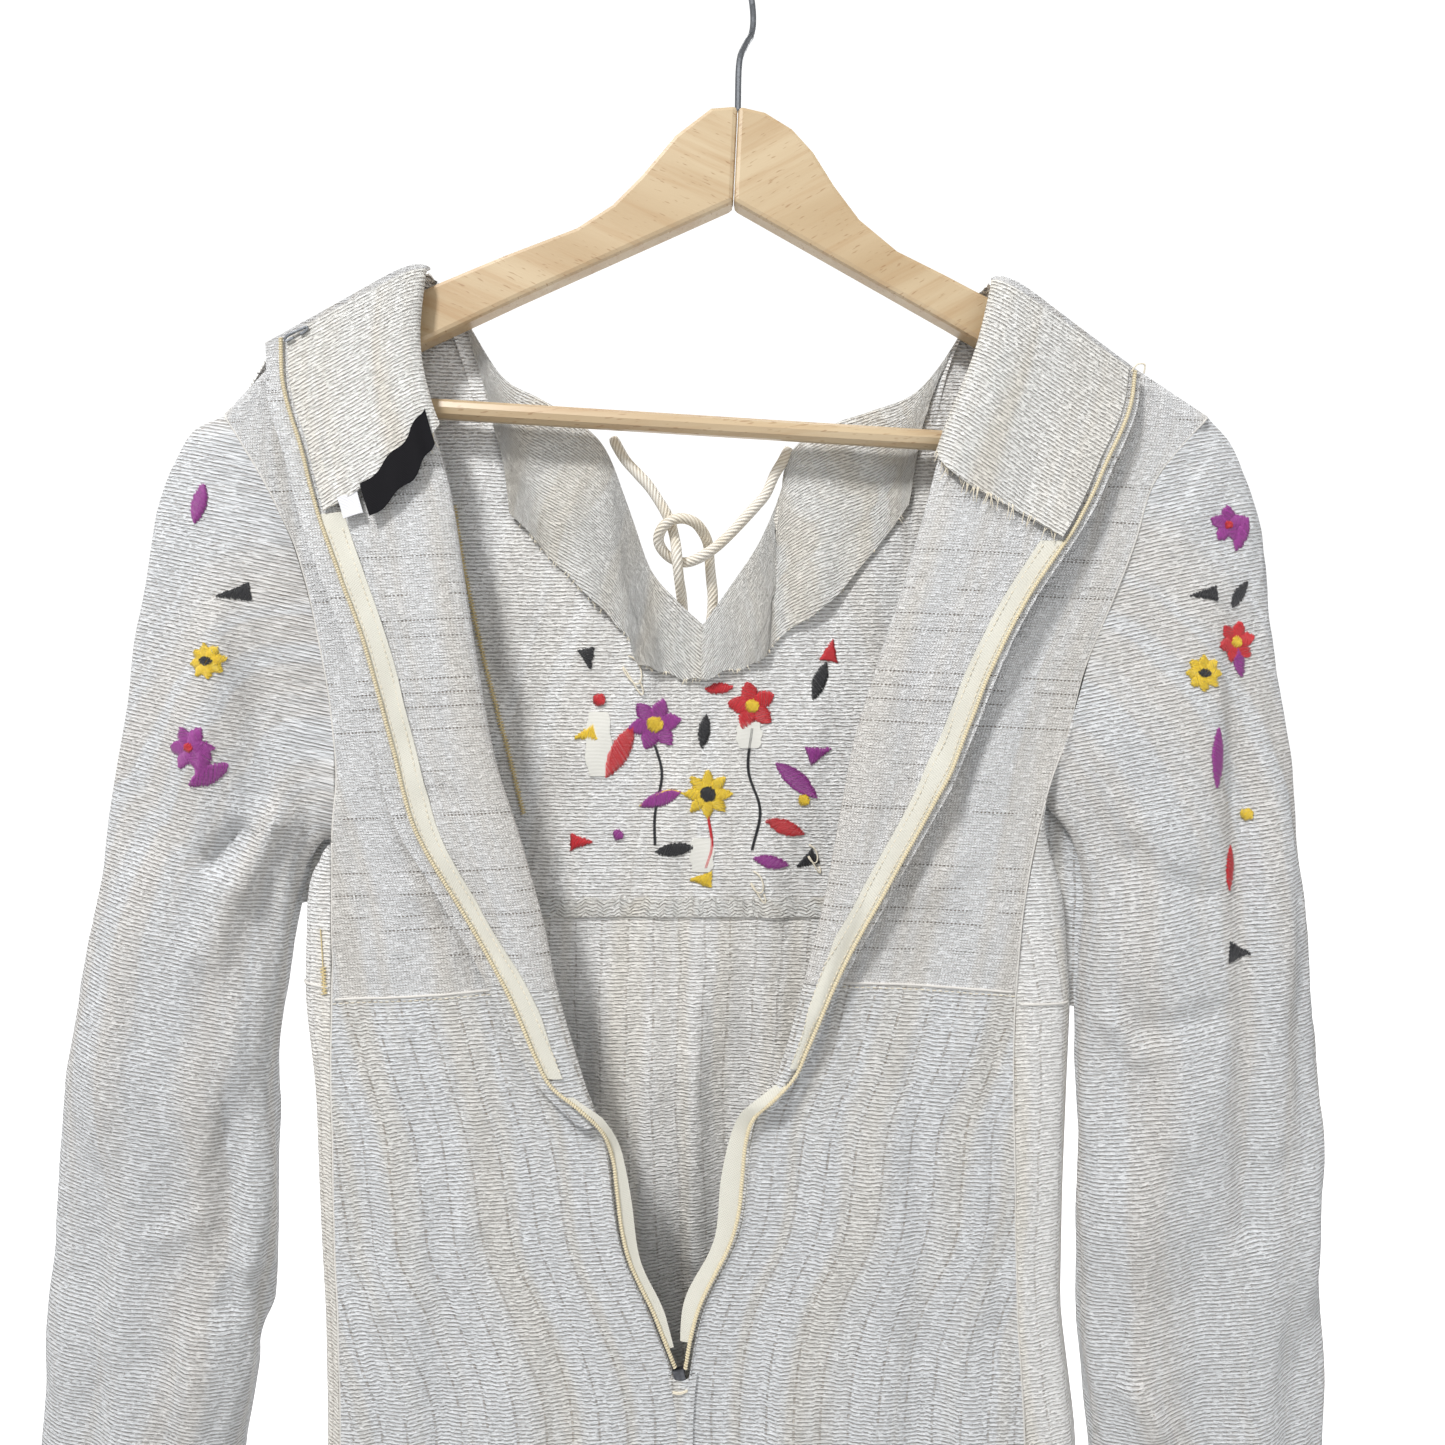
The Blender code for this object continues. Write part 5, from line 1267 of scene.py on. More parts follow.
class TUNIC_OT_stage(bpy.types.Operator):
    """Make the pale floor and backdrop, the soft lights and the camera"""

    bl_idname = "tunic.stage"
    bl_label = "Stage"

    def execute(self, context):
        scene = context.scene
        look = scene.tunic_stage
        scene.view_settings.view_transform = "Standard"
        camera = bpy.data.cameras.new("camera")
        camera.lens = look.focal
        camera.sensor_width = 36.0
        camera.clip_start = 0.01
        holder = bpy.data.objects.new("camera", camera)
        holder.location = [c * MM for c in CAMERA_PLACE]
        holder.rotation_euler = (math.radians(90), 0, 0)
        scene.collection.objects.link(holder)
        scene.camera = holder

        floor = surround("floor", "pale_studio_floor", 0.95, look.floor, 0.9, bmesh.ops.create_grid,
                         x_segments=1, y_segments=1, size=9.0, matrix=Matrix.Translation((0, 0, FLOOR_Z)))
        floor.visible_diffuse = False
        backdrop = surround("backdrop", "white_backdrop_paper", 1.0, (0.0, 0.0, 0.0), 1.1,
                            bmesh.ops.create_icosphere, subdivisions=4, radius=8.8)
        for kind in ("diffuse", "glossy", "transmission", "volume_scatter", "shadow"):
            setattr(backdrop, f"visible_{kind}", False)

        world = bpy.data.worlds.new("studio")
        world.use_nodes = True
        inputs = world.node_tree.nodes["Background"].inputs
        inputs["Color"].default_value = WHITE
        inputs["Strength"].default_value = WORLD_STRENGTH
        scene.world = world
        for name, place, size, power, tint in LIGHTS:
            lamp = bpy.data.lights.new(name, "AREA")
            lamp.size = size
            lamp.energy = power * (look.key if name == "key" else look.fill)
            lamp.color = tint
            lit = bpy.data.objects.new(name, lamp)
            lit.location = place
            aim = Vector(LIT_PLACE) - Vector(place)
            lit.rotation_euler = aim.to_track_quat("-Z", "Y").to_euler()
            scene.collection.objects.link(lit)
        return {"FINISHED"}


class TUNIC_OT_ties(bpy.types.Operator):
    """Make the two rolled ties of the neck slit, half knotted"""

    bl_idname = "tunic.ties"
    bl_label = "Ties"

    def execute(self, context):
        for side, route in (("left", TIE_LEFT), ("right", TIE_RIGHT)):
            path = along(np.array(route), 150)
            # A rolled strip is a little uneven, and rounded off at its free end.
            radii = (TIE / 2 - 0.2) * (1 + 0.035 * np.sin(np.arange(len(path)) * 0.37))
            radii[:2] = [2.1, 2.5]
            radii[-3:] = [2.5, 2.2, 1.4]
            points, faces, weave, lids = tube_mesh(path, radii, 24)
            tie = add_object(f"rolled_tie_{side}", points, faces, weave, FINISH["tie"], lids)
            place_on(tie, "cloth", f"tie_{side}")
        return {"FINISHED"}


class TUNIC_OT_hanger(bpy.types.Operator):
    """Give the hanger its beech and its steel"""

    bl_idname = "tunic.hanger"
    bl_label = "Hanger"

    def execute(self, context):
        for name, label in (
            ("hanger_arm_left", "beech_left"), ("hanger_arm_right", "beech_right"),
            ("hanger_bar", "beech_bar"), ("hanger_hook", "hook_steel"),
            ("zip_slider", "slider"), ("zip_pull", "slider"),
        ):
            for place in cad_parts[name].material_slots:
                place.material = FINISH[label]
        return {"FINISHED"}


class TUNIC_OT_front(bpy.types.Operator):
    """Make the front's yoke and skirt, seen from their inside, with the facing and its seam"""

    bl_idname = "tunic.front"
    bl_label = "Front"

    def execute(self, context):
        last = len(FRONT_BORDER) - 1
        c = np.unique(np.concatenate([np.linspace(0, last, count_for(560)), BORDER_CORNERS]))
        shares = np.linspace(0, 1, count_for(270))
        yoke = front_grid(c, shares[:, None] * seam_share(c)[None, :])
        cells = np.ones((len(yoke) - 1, yoke.shape[1] - 1), bool)
        heights = yoke[:-1, :, 2]
        cells[:, :WRAP_STEPS] = heights[:, WRAP_STEPS, None] < LEFT_ARMPIT_Z
        cells[:, -WRAP_STEPS:] = heights[:, -WRAP_STEPS - 1, None] < RIGHT_ARMPIT_Z
        # The yoke's finish is painted light: a paler cotton that brightens the shaded inside of the front.
        piece = hang("front_yoke", yoke, "bodice_inside_painted_light",
                     cells=cells, place=level_places(yoke))

        shares = np.linspace(0.0006, 1, count_for(450))
        seam = seam_share(c)[None, :]
        skirt = front_grid(c, seam + shares[:, None] * (1 - seam))
        # The skirt's finish is painted light: a paler cotton that brightens the shaded inside of the front.
        below = hang("front_skirt", skirt, "skirt_inside_painted_light",
                     place=level_places(skirt))
        remember("front", piece, below)

        c = np.linspace(6, 22, count_for(330))
        _, z0, _, _, drop = np.moveaxis(border_at(c), -1, 0)
        shares = np.linspace(0, 1, count_for(70))
        hem_way = (0.4 + shares[:, None] * (drop + facing_waves(c))[None, :]) / (z0 - FRONT_HEM_Z)[None, :]
        grid = front_points(c[None, :], hem_way)
        lift = (LAYER + 0.7) + shares[:, None] ** 2 * (1 + np.sin(2.3 * c))[None, :]
        grid = grid - normals(grid) * lift[..., None]
        hang("front_neck_facing", grid, "facing", trim_thick())

        c = np.linspace(5.5, 22.5, count_for(300))
        z0 = border_at(c)[..., 1]
        share = np.linspace(1.0, 0.0, count_for(ALLOWANCE, 4))[:, None]
        ragged = 1.0 * np.sin(5.1 * c) + 0.6 * np.sin(13.7 * c + 1)
        rise = share * ALLOWANCE + share * ragged[None, :]
        grid = front_points(c[None, :], seam_share(c)[None, :] - rise / (z0 - FRONT_HEM_Z)[None, :])
        grid = grid - normals(grid) * (LAYER + 0.2)
        hang("front_seam_allowance", grid, "facing", trim_thick())
        return {"FINISHED"}


def facing_waves(c):
    """How the facing's raw edge wanders below its cut line."""
    return 1.4 * np.sin(1.9 * c) + 0.7 * np.sin(5.3 * c + 0.7)


def panel_columns():
    """Places across a back half, evenly fine on the flat cloth and finer round the roll."""
    to_mid = np.linspace(0, KEY_MID, count_for(58))[:-1]
    to_near = np.linspace(KEY_MID, KEY_NEAR, count_for(52))[:-1]
    round_roll = np.linspace(KEY_NEAR, KEY_BEGIN, 2 * (count_for(22) // 2))
    turned = np.linspace(KEY_BEGIN, KEY_EDGE, count_for(62))[1:]
    cols = np.concatenate([to_mid, to_near, round_roll, turned])
    return np.unique(np.append(cols, KEY_ROLL))


class TUNIC_OT_back(bpy.types.Operator):
    """Make both back halves, each with the part of it that is turned out, and their facings"""

    bl_idname = "tunic.back"
    bl_label = "Back halves"

    def execute(self, context):
        for half in (LEFT, RIGHT):
            side = half.side
            drop_at_roll, drop_at_edge = FACING_ENDS[side]
            cols = panel_columns()
            roll = int(np.argmin(abs(cols - KEY_ROLL)))
            rows = np.concatenate([np.linspace(0, 1, count_for(28, 8))[:-1],
                                   np.linspace(1, YOKE_SEAM_ROW, count_for(275))])
            yoke = half_points(half, rows[:, None], cols[None, :])
            piece = hang(f"back_yoke_{side}", yoke, "bodice",
                         place=level_places(yoke, PICK_SLOPE * half.way))

            seam = SEAM_GAP / ROW_HEIGHT
            open_rows = np.linspace(YOKE_SEAM_ROW + seam, LAPEL_END_ROW, count_for(72))
            low_rows = np.linspace(LAPEL_END_ROW, len(half.rows) - 1, count_for(400))[1:]
            rows = np.concatenate([open_rows, low_rows])
            skirt = half_points(half, rows[:, None], cols[None, :])
            cells = np.ones((len(rows) - 1, len(cols) - 1), bool)
            cells[len(open_rows) - 1 :, roll:] = False
            below = hang(f"back_skirt_{side}", skirt, "skirt", cells=cells,
                         place=level_places(skirt, PICK_SLOPE * half.way))
            remember(f"back_{side}", piece, below)

            grid = []
            for across in np.linspace(0, 1, count_for(60)):
                t_end = drop_at_roll + (drop_at_edge - drop_at_roll) * across
                t = 0.1 + np.linspace(0, 1, count_for(90)) * (t_end - 0.1)
                edge = edge_share(half, t, half.strip + FACING_CLEAR)
                free = np.linspace(0, 1, len(t)) ** 4
                lift = LAYER + free * (2.2 + 1.2 * math.sin(9 * across + half.way))
                grid.append(raised(half, t, FACING_START + (edge - FACING_START) * across, lift))
            grid = np.array(grid).swapaxes(0, 1)
            hang(f"back_neck_facing_{side}", grid, "facing", trim_thick())
        return {"FINISHED"}


class TUNIC_OT_sleeves(bpy.types.Operator):
    """Make both sleeves as flattened tubes with their hanging creases"""

    bl_idname = "tunic.sleeves"
    bl_label = "Sleeves"

    def execute(self, context):
        for half, rings, creases in ((LEFT, LEFT_SLEEVE, LEFT_SLEEVE_CREASES),
                                     (RIGHT, RIGHT_SLEEVE, RIGHT_SLEEVE_CREASES)):
            keys = sleeve_keys(half, rings)
            rows = np.concatenate([np.linspace(0, 1, count_for(34, 8))[:-1],
                                   np.linspace(1, len(rings), count_for(565))])
            grid = round_about(smooth(keys, rows), count_for(232))
            facing = normals(grid, wraps=True)
            centre = grid.mean(axis=1, keepdims=True)
            if ((grid - centre) * facing).sum() < 0:
                facing = -facing
            x, y, z = grid[..., 0], grid[..., 1], grid[..., 2]
            ease = np.clip(rows / 1.5, 0, 1)[:, None]
            shown = np.clip(0.5 - facing[..., 1] * 1.5, 0, 1)
            rise = fold_height(creases, x, z) * shown
            rise = rise + fold_height(creases, x, z + 25) * (1 - shown)
            rise = SLEEVE_DEPTH * rise + SLEEVE_CRINKLE_DEPTH * SLEEVE_CRINKLE(x + 3 * y, z)
            grid = grid + facing * (ease * rise)[..., None]
            place = arc_places(grid, True)
            axis = unit(np.array([-0.22 * half.way, 0.0, -1.0]))
            place[:, :-1, 1] = grid @ axis
            place[:, -1, 1] = place[:, 0, 1]
            piece = hang(f"sleeve_{half.side}", grid, "sleeve",
                         wraps=True, place=place)
            remember(f"sleeve_{half.side}", piece)
            cuff = int(np.argmin(abs(rows - (len(rings) - 0.18))))
            around = list(range(grid.shape[1])) + [0]
            out = facing[cuff, around]
            STITCHED.append((grid[cuff, around] + out * (thick() / 2 + STITCH_LIFT), out))
        return {"FINISHED"}


CORE = 0.6  # half the thickness of the cord inside a coil
COIL_SLANT = 12  # degrees that a coil's turns lean


class TUNIC_OT_zip(bpy.types.Operator):
    """Make the open zip: both coils turn by turn, and the tapes that carry them"""

    bl_idname = "tunic.zip"
    bl_label = "Zip"

    def execute(self, context):
        sizes = context.scene.tunic_zip
        for half, end_row, tape_row in ((LEFT, 13.52, 3.13), (RIGHT, 13.565, 3.33)):
            route = coil_points(half, np.linspace(NECK_ROW, end_row, 40))
            line = along(route, 460)
            toward = unit(np.gradient(line, axis=0))
            facing = np.tile([0.0, -1.0, 0.0], (len(line), 1))
            facing = unit(facing - toward * (facing * toward).sum(axis=1, keepdims=True))
            pitch = sizes.pitch / MM
            tooth = stitch_shape(0.86 * pitch, sizes.tooth / MM, 2.0, math.radians(COIL_SLANT * half.way))
            teeth = repeat_along(f"zip_coil_{half.side}_turns", [line], [facing], tooth, pitch,
                                 FINISH["coil"], 0.04, 5)
            core = tubes_object(f"zip_coil_{half.side}_core", [line[::4]], CORE, FINISH["coil"], 8)
            place_on(teeth, "coil", f"zip_coil_{half.side}")
            place_on(core, "coil")

            t = np.linspace(tape_row, 10.0, count_for(250))
            shares = np.linspace(0, 1, 8)
            near = edge_share(half, t, half.strip + 0.4)
            far = edge_share(half, t, half.strip + 1.6 + TAPE_WIDTH)
            s = near[:, None] + (far - near)[:, None] * shares[None, :]
            waves = 0.35 * np.sin(t * 7.0)[:, None] * shares[None, :]
            tape_grid = raised(half, t[:, None], s, LAYER + waves)
            tape = cloth_shell(f"zip_tape_{half.side}_band", tape_grid, trim_thick(), FINISH["tape"])
            place_on(tape, "tape", f"zip_tape_{half.side}")
            declare_cloth(tape_grid)
        return {"FINISHED"}


# Each label's first and last row on the left half, then its start and width in key points.
NECK_LABEL = (1.98, 2.44, 3.52, 1.4)
SIZE_TAB = (2.88, 3.2, 5.0, 0.34)


class TUNIC_OT_labels(bpy.types.Operator):
    """Make the bare neck label and the bare size tab"""

    bl_idname = "tunic.labels"
    bl_label = "Labels"

    def execute(self, context):
        second = LAYER + TRIM / 2 + SEAM_GAP + 0.4
        top, foot, start, width = NECK_LABEL
        t = np.linspace(top, foot, 26)[:, None]
        across = np.linspace(0, 1, 60)[None, :]
        s = start + width * across
        ripple = 2.4 + 0.6 * np.sin(13.0 * s) * np.linspace(0.2, 1, 26)[:, None]
        grid = raised(LEFT, t + 0.84 * across + 0.03 * np.sin(11 * s), s + 0 * t, second + 0.5 + ripple)
        label = cloth_shell("neck_label_bare", grid, 0.5, FINISH["label"])
        place_on(label, "label", "neck_label")
        declare_cloth(grid)
        top, foot, start, width = SIZE_TAB
        t = np.linspace(top, foot, 12)[:, None]
        s = np.linspace(start, start + width, 12)[None, :]
        slope = 0.06 * (s - start) / width
        grid = raised(LEFT, t + slope, s + 0 * t, second + 2.4 + 0.3 * np.sin(6 * s))
        tab = cloth_shell("size_tab_bare", grid, 0.4, FINISH["size_tab"])
        place_on(tab, "size_tab", "size_tab")
        return {"FINISHED"}


class TUNIC_OT_fastening(bpy.types.Operator):
    """Make the neck's wire hook and its thread eye"""

    bl_idname = "tunic.fastening"
    bl_label = "Hook and eye"

    def execute(self, context):
        base = raised(LEFT, np.array([0.2]), np.array([5.4]), LAYER + TRIM / 2 + 1.0)[0]
        side = unit(np.array([-1.0, 0.0, -0.45]))
        up = np.array([0.4, 0.0, 0.9])
        shape = [(4.5, -1.6), (8.5, -1.6), (9.6, 0.0), (8.5, 1.6), (3.5, 1.6), (-0.5, 1.6), (-1.6, 0.2)]
        shape += [(-0.5, -1.2), (1.5, -1.2)]
        route = np.array([base + side * a + up * b for a, b in shape])
        hook = tubes_object("neck_hook_wire", [along(route, 60)], 0.6, FINISH["hook_steel"], 8)
        place_on(hook, "slider_metal", "neck_hook")
        base = raised(RIGHT, np.array([0.05]), np.array([5.9]), CLOTH / 2 + 2.2)[0]
        loop = np.array([(-2.5, 0, -1.5), (0, -1.2, 1.5), (3.0, -1.6, 1.2), (3.4, 0, -2.4)]) + base
        eye = tubes_object("neck_eye_thread", [along(loop, 30)], 0.4, FINISH["cream_thread"], 6)
        place_on(eye, "coil", "neck_eye")
        return {"FINISHED"}


def outline_of(kind, length, width):
    """The outline of a motif that grows along X from its foot, in millimetres."""
    if kind == "triangle":
        return np.array([(-length / 2, 0), (length / 2, -width / 2), (length / 2, width / 2)])
    share = np.linspace(0, 1, 13)
    if kind == "disc":
        angle = 2 * math.pi * share[:-1]
        return np.stack([length / 2 * np.cos(angle), width / 2 * np.sin(angle)], axis=1)
    half_width = width / 2 * np.sin(math.pi * share) ** 0.8
    upper = np.stack([length * share, half_width], axis=1)
    lower = np.stack([length * share[::-1], -half_width[::-1]], axis=1)
    return np.concatenate([upper, lower[1:-1]])


def turned_by(points, degrees):
    """Flat points turned about the origin."""
    angle = math.radians(degrees)
    across, up = points[:, 0], points[:, 1]
    return np.stack([across * math.cos(angle) - up * math.sin(angle),
                     across * math.sin(angle) + up * math.cos(angle)], axis=1)


SATIN_SLANT = 58  # degrees between a motif's length and its stitches
SATIN_THREAD = 0.27  # half its thickness
RAGGED = 0.45  # how far a satin stitch may end beside the outline
SHORTEST_STITCH = 0.6


def satin_lines(outline, slant, spacing, rng):
    """Slanted stitches side by side that fill an outline, their ends a little uneven."""
    turned = turned_by(outline, -slant)
    after = np.roll(turned, -1, axis=0)
    lines = []
    for level in np.arange(turned[:, 1].min() + spacing / 2, turned[:, 1].max(), spacing):
        crosses = (turned[:, 1] > level) != (after[:, 1] > level)
        if not crosses.any():
            continue
        start, end = turned[crosses], after[crosses]
        ends = start[:, 0] + (level - start[:, 1]) * (end[:, 0] - start[:, 0]) / (end[:, 1] - start[:, 1])
        ends = np.sort(ends)[:2] + rng.uniform(-RAGGED, RAGGED, 2) * (-1, 1)
        if ends[1] - ends[0] > SHORTEST_STITCH:
            heights = level + rng.uniform(-0.1, 0.1, 2)
            lines.append(turned_by(np.stack([ends, heights], axis=1), slant))
    return lines


def laid_line(label, line, lift, dome=0.0, spacing=2.0, way=1):
    """A line of X and Z laid on a remembered surface, or None where it runs off it."""
    line = np.asarray(line, float)
    run = run_along(line)
    count = max(3, int(run[-1] / spacing) + 2)
    places = np.linspace(0, run[-1], count)
    points = []
    for share, x, z in zip(np.linspace(0, 1, count), np.interp(places, run, line[:, 0]),
                           np.interp(places, run, line[:, 1])):
        point = laid_on(label, x, z, lift + dome * math.sin(math.pi * share), way)
        if point is None:
            return None
        points.append(point)
    steep = abs(np.diff(points, axis=0)[:, 1]).max() > 3 * spacing
    return None if steep else np.array(points)


class TUNIC_OT_embroidery(bpy.types.Operator):
    """Embroider flowers and leaves in satin stitch on the front and the sleeves"""

    bl_idname = "tunic.embroidery"
    bl_label = "Embroidery"

    def execute(self, context):
        rng = np.random.default_rng(11)
        spacing = context.scene.tunic_sewing.satin / MM
        threads = {}
        for motif in MOTIFS:
            shape = outline_of(motif.kind, motif.length, motif.width)
            turns = [motif.turn]
            if motif.kind == "flower":
                turns = [motif.turn + 360 * k / motif.petals for k in range(motif.petals)]
            lift, dome = (0.6, 0.75) if motif.kind == "disc" else (0.25, 0.4)
            ways = (1, -1) if motif.surface == "front" else (1,)
            for turn in turns:
                outline = turned_by(shape, turn) + (motif.x, motif.z)
                for line in satin_lines(outline, turn + SATIN_SLANT, spacing, rng):
                    for way in ways:
                        path = laid_line(motif.surface, line, lift, dome, way=way)
                        if path is not None:
                            threads.setdefault(motif.thread, []).append(path)
        for thread, line in STEMS:
            keys = np.insert(np.array(line, float), 1, 0, axis=1)
            curve = along(keys, 24)[:, ::2]
            for shift in (-0.45, 0.0, 0.45):
                for way in (1, -1):
                    path = laid_line("front", curve + (shift, 0), 0.3, 0.0, 1.5, way)
                    if path is not None:
                        threads.setdefault(thread, []).append(path)
        for thread, paths in threads.items():
            piece = tubes_object(f"embroidery_{thread}", paths, SATIN_THREAD, FINISH[thread], 4)
            place_on(piece, "cloth")
        for number, (first, second) in enumerate(BACKINGS):
            across = np.linspace(first[0], second[0], 12)
            grid = []
            for k, z in enumerate(np.linspace(first[1], second[1], 18)):
                wander = 0.5 * math.sin(0.9 * k + number)
                narrow = 0.45 + 0.55 * math.sin(math.pi * (k + 1.5) / 20) ** 0.5
                middle = (first[0] + second[0]) / 2
                grid.append([laid_on("front", middle + (x - middle) * narrow + wander, z, 0.35)
                             for x in across])
            grid = np.array(grid)
            piece = cloth_shell(f"embroidery_backing_{number + 1}", grid, 0.25, FINISH["backing"])
            place_on(piece, "cloth")
            declare_cloth(grid)
        return {"FINISHED"}


SEAM_RIDGE = 0.62  # half the thickness of a seam's rolled ridge
SEAM_SINK = 0.55  # how deep the ridge of a side seam or armhole lies in the cloth


def sew_panels():
    """Routes of the body's seams and of its rows of stitches, on the side that shows."""
    lift = thick() / 2
    out = np.array([0.0, -1.0, 0.0])
    for half in (LEFT, RIGHT):
        last = len(half.rows) - 1
        s = np.linspace(0.02, KEY_ROLL - 0.15, 90)
        seam = half_points(half, np.full_like(s, YOKE_SEAM_ROW), s)
        SEAMS.append(seam + out * lift)
        below = half_points(half, np.full_like(s, YOKE_SEAM_ROW + 0.05), s)
        STITCHED.append((below + out * (lift + STITCH_LIFT), out))
        hem = half_points(half, np.full_like(s, last - 0.17), s)
        STITCHED.append((hem + out * (lift + STITCH_LIFT), out))
        t = np.linspace(0.12, ARMPIT_ROW, 110)
        armhole = half_points(half, t, np.zeros_like(t))
        SEAMS.append(armhole + (-half.way * 0.2, SEAM_SINK - lift, 0.0))
        t = np.linspace(ARMPIT_ROW, last - 0.02, 150)
        side = half_points(half, t, np.zeros_like(t))
        SEAMS.append(side + (-half.way * 0.3, SEAM_SINK - lift, 0.0))
        t = np.linspace(3.4, 9.9, 200)
        for inset in (TAPE_WIDTH - 1.0, 2.2):
            line = raised(half, t, edge_share(half, t, half.strip + inset), LAYER + 0.55)
            STITCHED.append((line, out))
    c = np.linspace(0.6, len(FRONT_BORDER) - 1.6, 220)
    seam = front_points(c, seam_share(c))
    SEAMS.append(seam - (0.0, lift, 0.0))
    hem = front_points(c, np.full_like(c, 0.983))
    for way in (out, -out):
        STITCHED.append((hem + way * (lift + STITCH_LIFT), way))


class TUNIC_OT_sewing(bpy.types.Operator):
    """Make the seams' rolled ridges, the rows of stitches, the overlocked edges and loose threads"""

    bl_idname = "tunic.sewing"
    bl_label = "Sewing"

    def execute(self, context):
        sew_panels()
        for line in SIDE_PANEL_SEAMS:
            path = laid_line("front", line, 0.2)
            if path is not None:
                SEAMS.append(path)
        ridges = tubes_object("seam_ridges", SEAMS, SEAM_RIDGE, FINISH["seam_fold"], 8)
        place_on(ridges, "cloth")
        lines = [line for line, _ in STITCHED]
        facings = [np.tile(side, (len(line), 1)) if side.ndim == 1 else side for line, side in STITCHED]
        length = context.scene.tunic_sewing.stitch / MM
        grain = stitch_shape(0.78 * length, 0.5, 0.4)
        rows = repeat_along("rows_of_stitches", lines, facings, grain, length, FINISH["cream_thread"],
                            0.12, 4)
        place_on(rows, "cloth")

        rng = np.random.default_rng(5)
        zigzags = []
        for label, route, reach in OVERLOCKS:
            route = np.array(route)
            run = run_along(route)
            places = np.arange(0, run[-1], 0.75)
            middle = np.stack([np.interp(places, run, route[:, k]) for k in (0, 1)], axis=1)
            toward = unit(np.gradient(middle, axis=0))
            off = np.where(np.arange(len(places)) % 2, reach, -reach) + rng.uniform(-0.2, 0.2, len(places))
            for line in (middle + np.stack([toward[:, 1], -toward[:, 0]], axis=1) * off[:, None], middle):
                for first in range(0, len(line) - 2, 24):
                    path = laid_line(label, line[first : first + 25], 0.6, 0.0, 0.8)
                    if path is not None:
                        zigzags.append(path)
        place_on(tubes_object("overlocked_edges", zigzags, 0.26, FINISH["overlock"], 5), "cloth")

        frays = []
        for half, count in ((LEFT, 20), (RIGHT, 46)):
            at_roll, at_edge = FACING_ENDS[half.side]
            for _ in range(count):
                across = rng.uniform(0.02, 0.95)
                t = np.array([at_roll + (at_edge - at_roll) * across - 0.03])
                edge = edge_share(half, t, half.strip + FACING_CLEAR)
                base = raised(half, t, FACING_START + (edge - FACING_START) * across, LAYER + 2.4)[0]
                length = rng.uniform(2.0, 8.0)
                drift = rng.uniform(-0.5, 0.5)
                bend = rng.uniform(-1.2, 1.2)
                frays.append([base + (drift * length * k + bend * k * k, -0.4 * k + 0.9 * k * k, -length * k)
                              for k in np.linspace(0, 1, 6)])
        for c in rng.uniform(6.2, 21.8, 90):
            _, z0, _, _, drop = border_at(np.array([c]))[0]
            share = (0.2 + drop + facing_waves(c)) / (z0 - FRONT_HEM_Z)
            base = front_points(np.array([c]), np.array([share]))[0] - (0, LAYER + 1.6, 0)
            length = rng.uniform(0.8, 2.8)
            drift = rng.uniform(-0.7, 0.7)
            frays.append([base + (drift * length * k, -0.3 * k, -length * k) for k in np.linspace(0, 1, 4)])
        place_on(tubes_object("frayed_edges", frays, 0.3, FINISH["cream_thread"], 4, 0.45), "cloth")

        loops = []
        for label, x, z, reach in LOOSE_THREADS:
            angle = np.linspace(0, 9.0, 46)
            line = np.stack([x + reach * np.sin(angle) * (1 - angle / 16) + 0.5 * angle,
                             z + reach * np.cos(1.3 * angle) * 0.8 - 1.1 * angle], axis=1)
            path = laid_line(label, line, 0.6, 0.8, 1.2)
            if path is not None:
                loops.append(path)
        place_on(tubes_object("loose_threads", loops, 0.42, FINISH["cream_thread"], 5), "cloth")
        return {"FINISHED"}


class TUNIC_OT_zip_foot(bpy.types.Operator):
    """Make the tapes' lower ends, the closed seam below the zip and the thread bar at its foot"""

    bl_idname = "tunic.zip_foot"
    bl_label = "Foot of the zip"

    def execute(self, context):
        last = len(LEFT.rows) - 1
        t = np.linspace(CLOSED_ROW, last - 0.01, count_for(230))
        left, right = (half_points(half, t, np.full_like(t, KEY_ROLL - 0.75)) for half in (LEFT, RIGHT))
        share = np.linspace(0, 1, 16)[None, :, None]
        grid = left[:, None] * (1 - share) + right[:, None] * share
        arch = np.sin(math.pi * share[..., 0])
        grid[..., 1] -= 1.5 + 0.5 * arch
        grid[..., 2] -= 3.0 * arch * np.linspace(1, 0, len(t))[:, None] ** 6
        cover = cloth_shell("centre_seam_fold", grid, 0.9, FINISH["skirt"], place=level_places(grid))
        place_on(cover, "cloth")
        declare_cloth(grid)
        for half, wide in ((LEFT, 5.0), (RIGHT, 8.5)):
            t = np.linspace(10.25, 13.3, count_for(150))
            edge = coil_points(half, t) + (half.way * 0.4, 0.6, 0.0)
            fade = np.sin(np.linspace(0.35, math.pi - 0.25, len(t))) ** 0.5
            across = np.linspace(0, 1, 7)[None, :]
            reach = wide * (fade * (1 + 0.12 * np.sin(5 * t)))[:, None] * across
            grid = edge[:, None] + np.stack([half.way * reach, 0.35 * reach, 0 * reach], axis=-1)
            tail = cloth_shell(f"zip_tape_tail_{half.side}", grid, trim_thick(), FINISH["tape"])
            place_on(tail, "tape")
        low, high = (np.array(corner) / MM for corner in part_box("zip_slider"))
        x, y, z = (low[0] + high[0]) / 2, low[1] - 0.6, low[2] - 0.8
        bar = [np.array([(x - 3.4, y, z + 0.2), (x, y - 0.5, z), (x + 3.6, y, z + 0.9)]) + (0, 0, k)
               for k in (0, -0.6)]
        place_on(tubes_object("zip_thread_bar", [along(b, 12) for b in bar], 0.4, FINISH["cream_thread"], 6),
                 "coil")
        return {"FINISHED"}


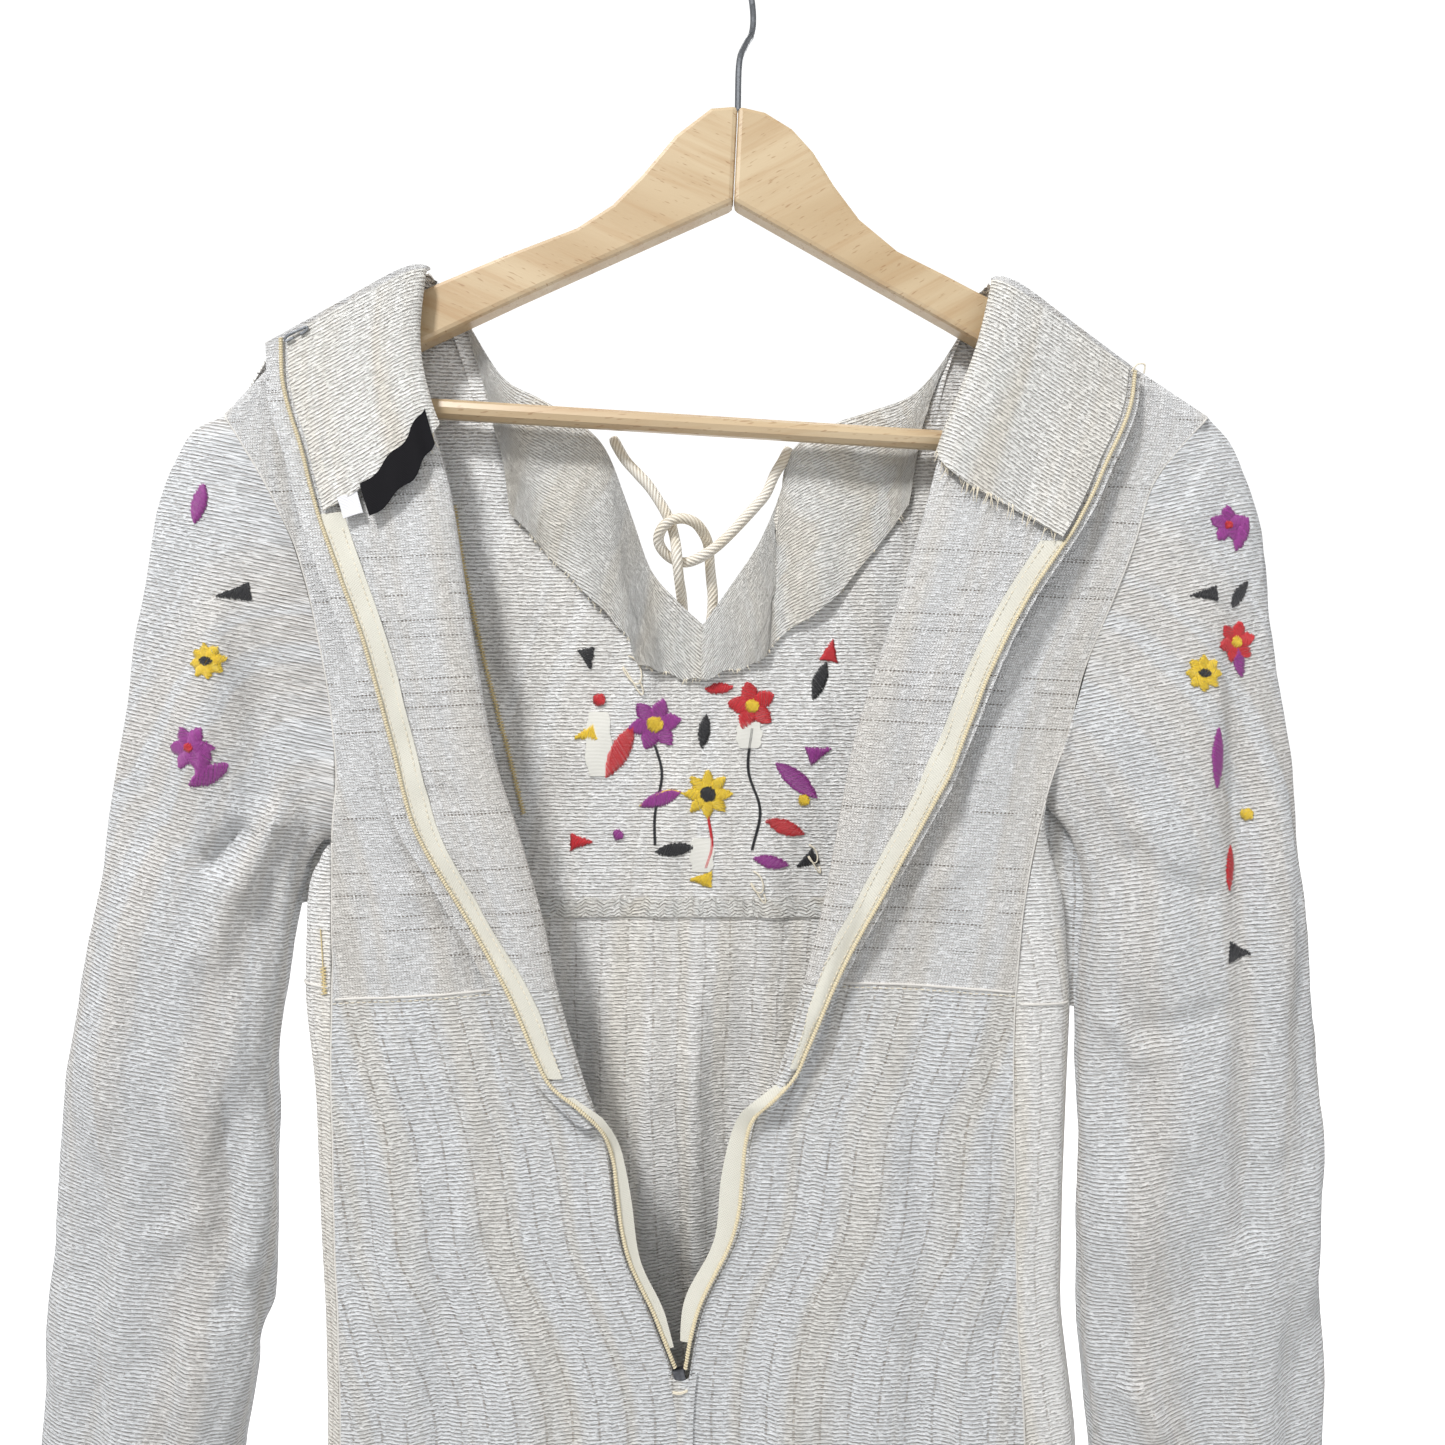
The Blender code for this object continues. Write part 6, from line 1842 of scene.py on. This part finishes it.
class TUNIC_OT_underarms(bpy.types.Operator):
    """Make the shaded folds of cloth under both arms"""

    bl_idname = "tunic.underarms"
    bl_label = "Underarm folds"

    def execute(self, context):
        for side, low_x, high_x, top, foot in UNDERARMS:
            across = np.linspace(low_x, high_x, 14)[None, :]
            heights = np.linspace(top, foot, 44)[:, None]
            x, z = np.broadcast_arrays(across, heights)
            bulge = np.sin(math.pi * (x - low_x) / (high_x - low_x))
            y = 2.0 + 3.4 * bulge + 0.9 * np.sin((z + 0.8 * x) / 5.0)
            z = z + 2.0 * bulge * (z - top) / (foot - top)
            grid = np.stack([x, y, z], axis=-1)
            fold = cloth_shell(f"underarm_fold_{side}", grid, thick(), FINISH["skirt"])
            place_on(fold, "cloth")
            declare_cloth(grid)
        return {"FINISHED"}


class TUNIC_PT_panel(bpy.types.Panel):
    """Lists the tunic's operators and its sizes"""

    bl_idname = "TUNIC_PT_panel"
    bl_label = "Tunic"
    bl_space_type = "VIEW_3D"
    bl_region_type = "UI"
    bl_category = "Tunic"

    def draw(self, context):
        for place, _ in GROUPS:
            group = getattr(context.scene, place)
            box = self.layout.box()
            for name in group.bl_rna.properties.keys():
                if name not in ("rna_type", "name"):
                    box.prop(group, name)
        for operator in OPERATORS:
            self.layout.operator(operator.bl_idname)


GROUPS = (("tunic_cloth", ClothSizes), ("tunic_zip", ZipSizes), ("tunic_sewing", SewingSizes),
          ("tunic_stage", StageLook))
OPERATORS = (
    TUNIC_OT_stage, TUNIC_OT_ties, TUNIC_OT_hanger, TUNIC_OT_front, TUNIC_OT_back, TUNIC_OT_sleeves,
    TUNIC_OT_zip, TUNIC_OT_labels, TUNIC_OT_fastening, TUNIC_OT_embroidery, TUNIC_OT_sewing,
    TUNIC_OT_zip_foot, TUNIC_OT_underarms,
)


def register():
    """Register the groups of sizes, the operators and the panel"""
    for name, group in GROUPS:
        bpy.utils.register_class(group)
        setattr(bpy.types.Scene, name, PointerProperty(type=group))
    for cls in (*OPERATORS, TUNIC_PT_panel):
        bpy.utils.register_class(cls)


def unregister():
    """Take away what register added"""
    for cls in (*OPERATORS, TUNIC_PT_panel):
        bpy.utils.unregister_class(cls)
    for name, group in GROUPS:
        delattr(bpy.types.Scene, name)
        bpy.utils.unregister_class(group)


def main():
    """Make every piece in order."""
    register()
    FINISH.update(make_finishes())
    bpy.ops.tunic.stage()
    bpy.ops.tunic.ties()
    bpy.ops.tunic.hanger()
    bpy.ops.tunic.front()
    bpy.ops.tunic.back()
    bpy.ops.tunic.sleeves()
    bpy.ops.tunic.zip()
    bpy.ops.tunic.labels()
    bpy.ops.tunic.fastening()
    bpy.ops.tunic.embroidery()
    bpy.ops.tunic.sewing()
    bpy.ops.tunic.zip_foot()
    bpy.ops.tunic.underarms()


if __name__ == "__main__":
    main()
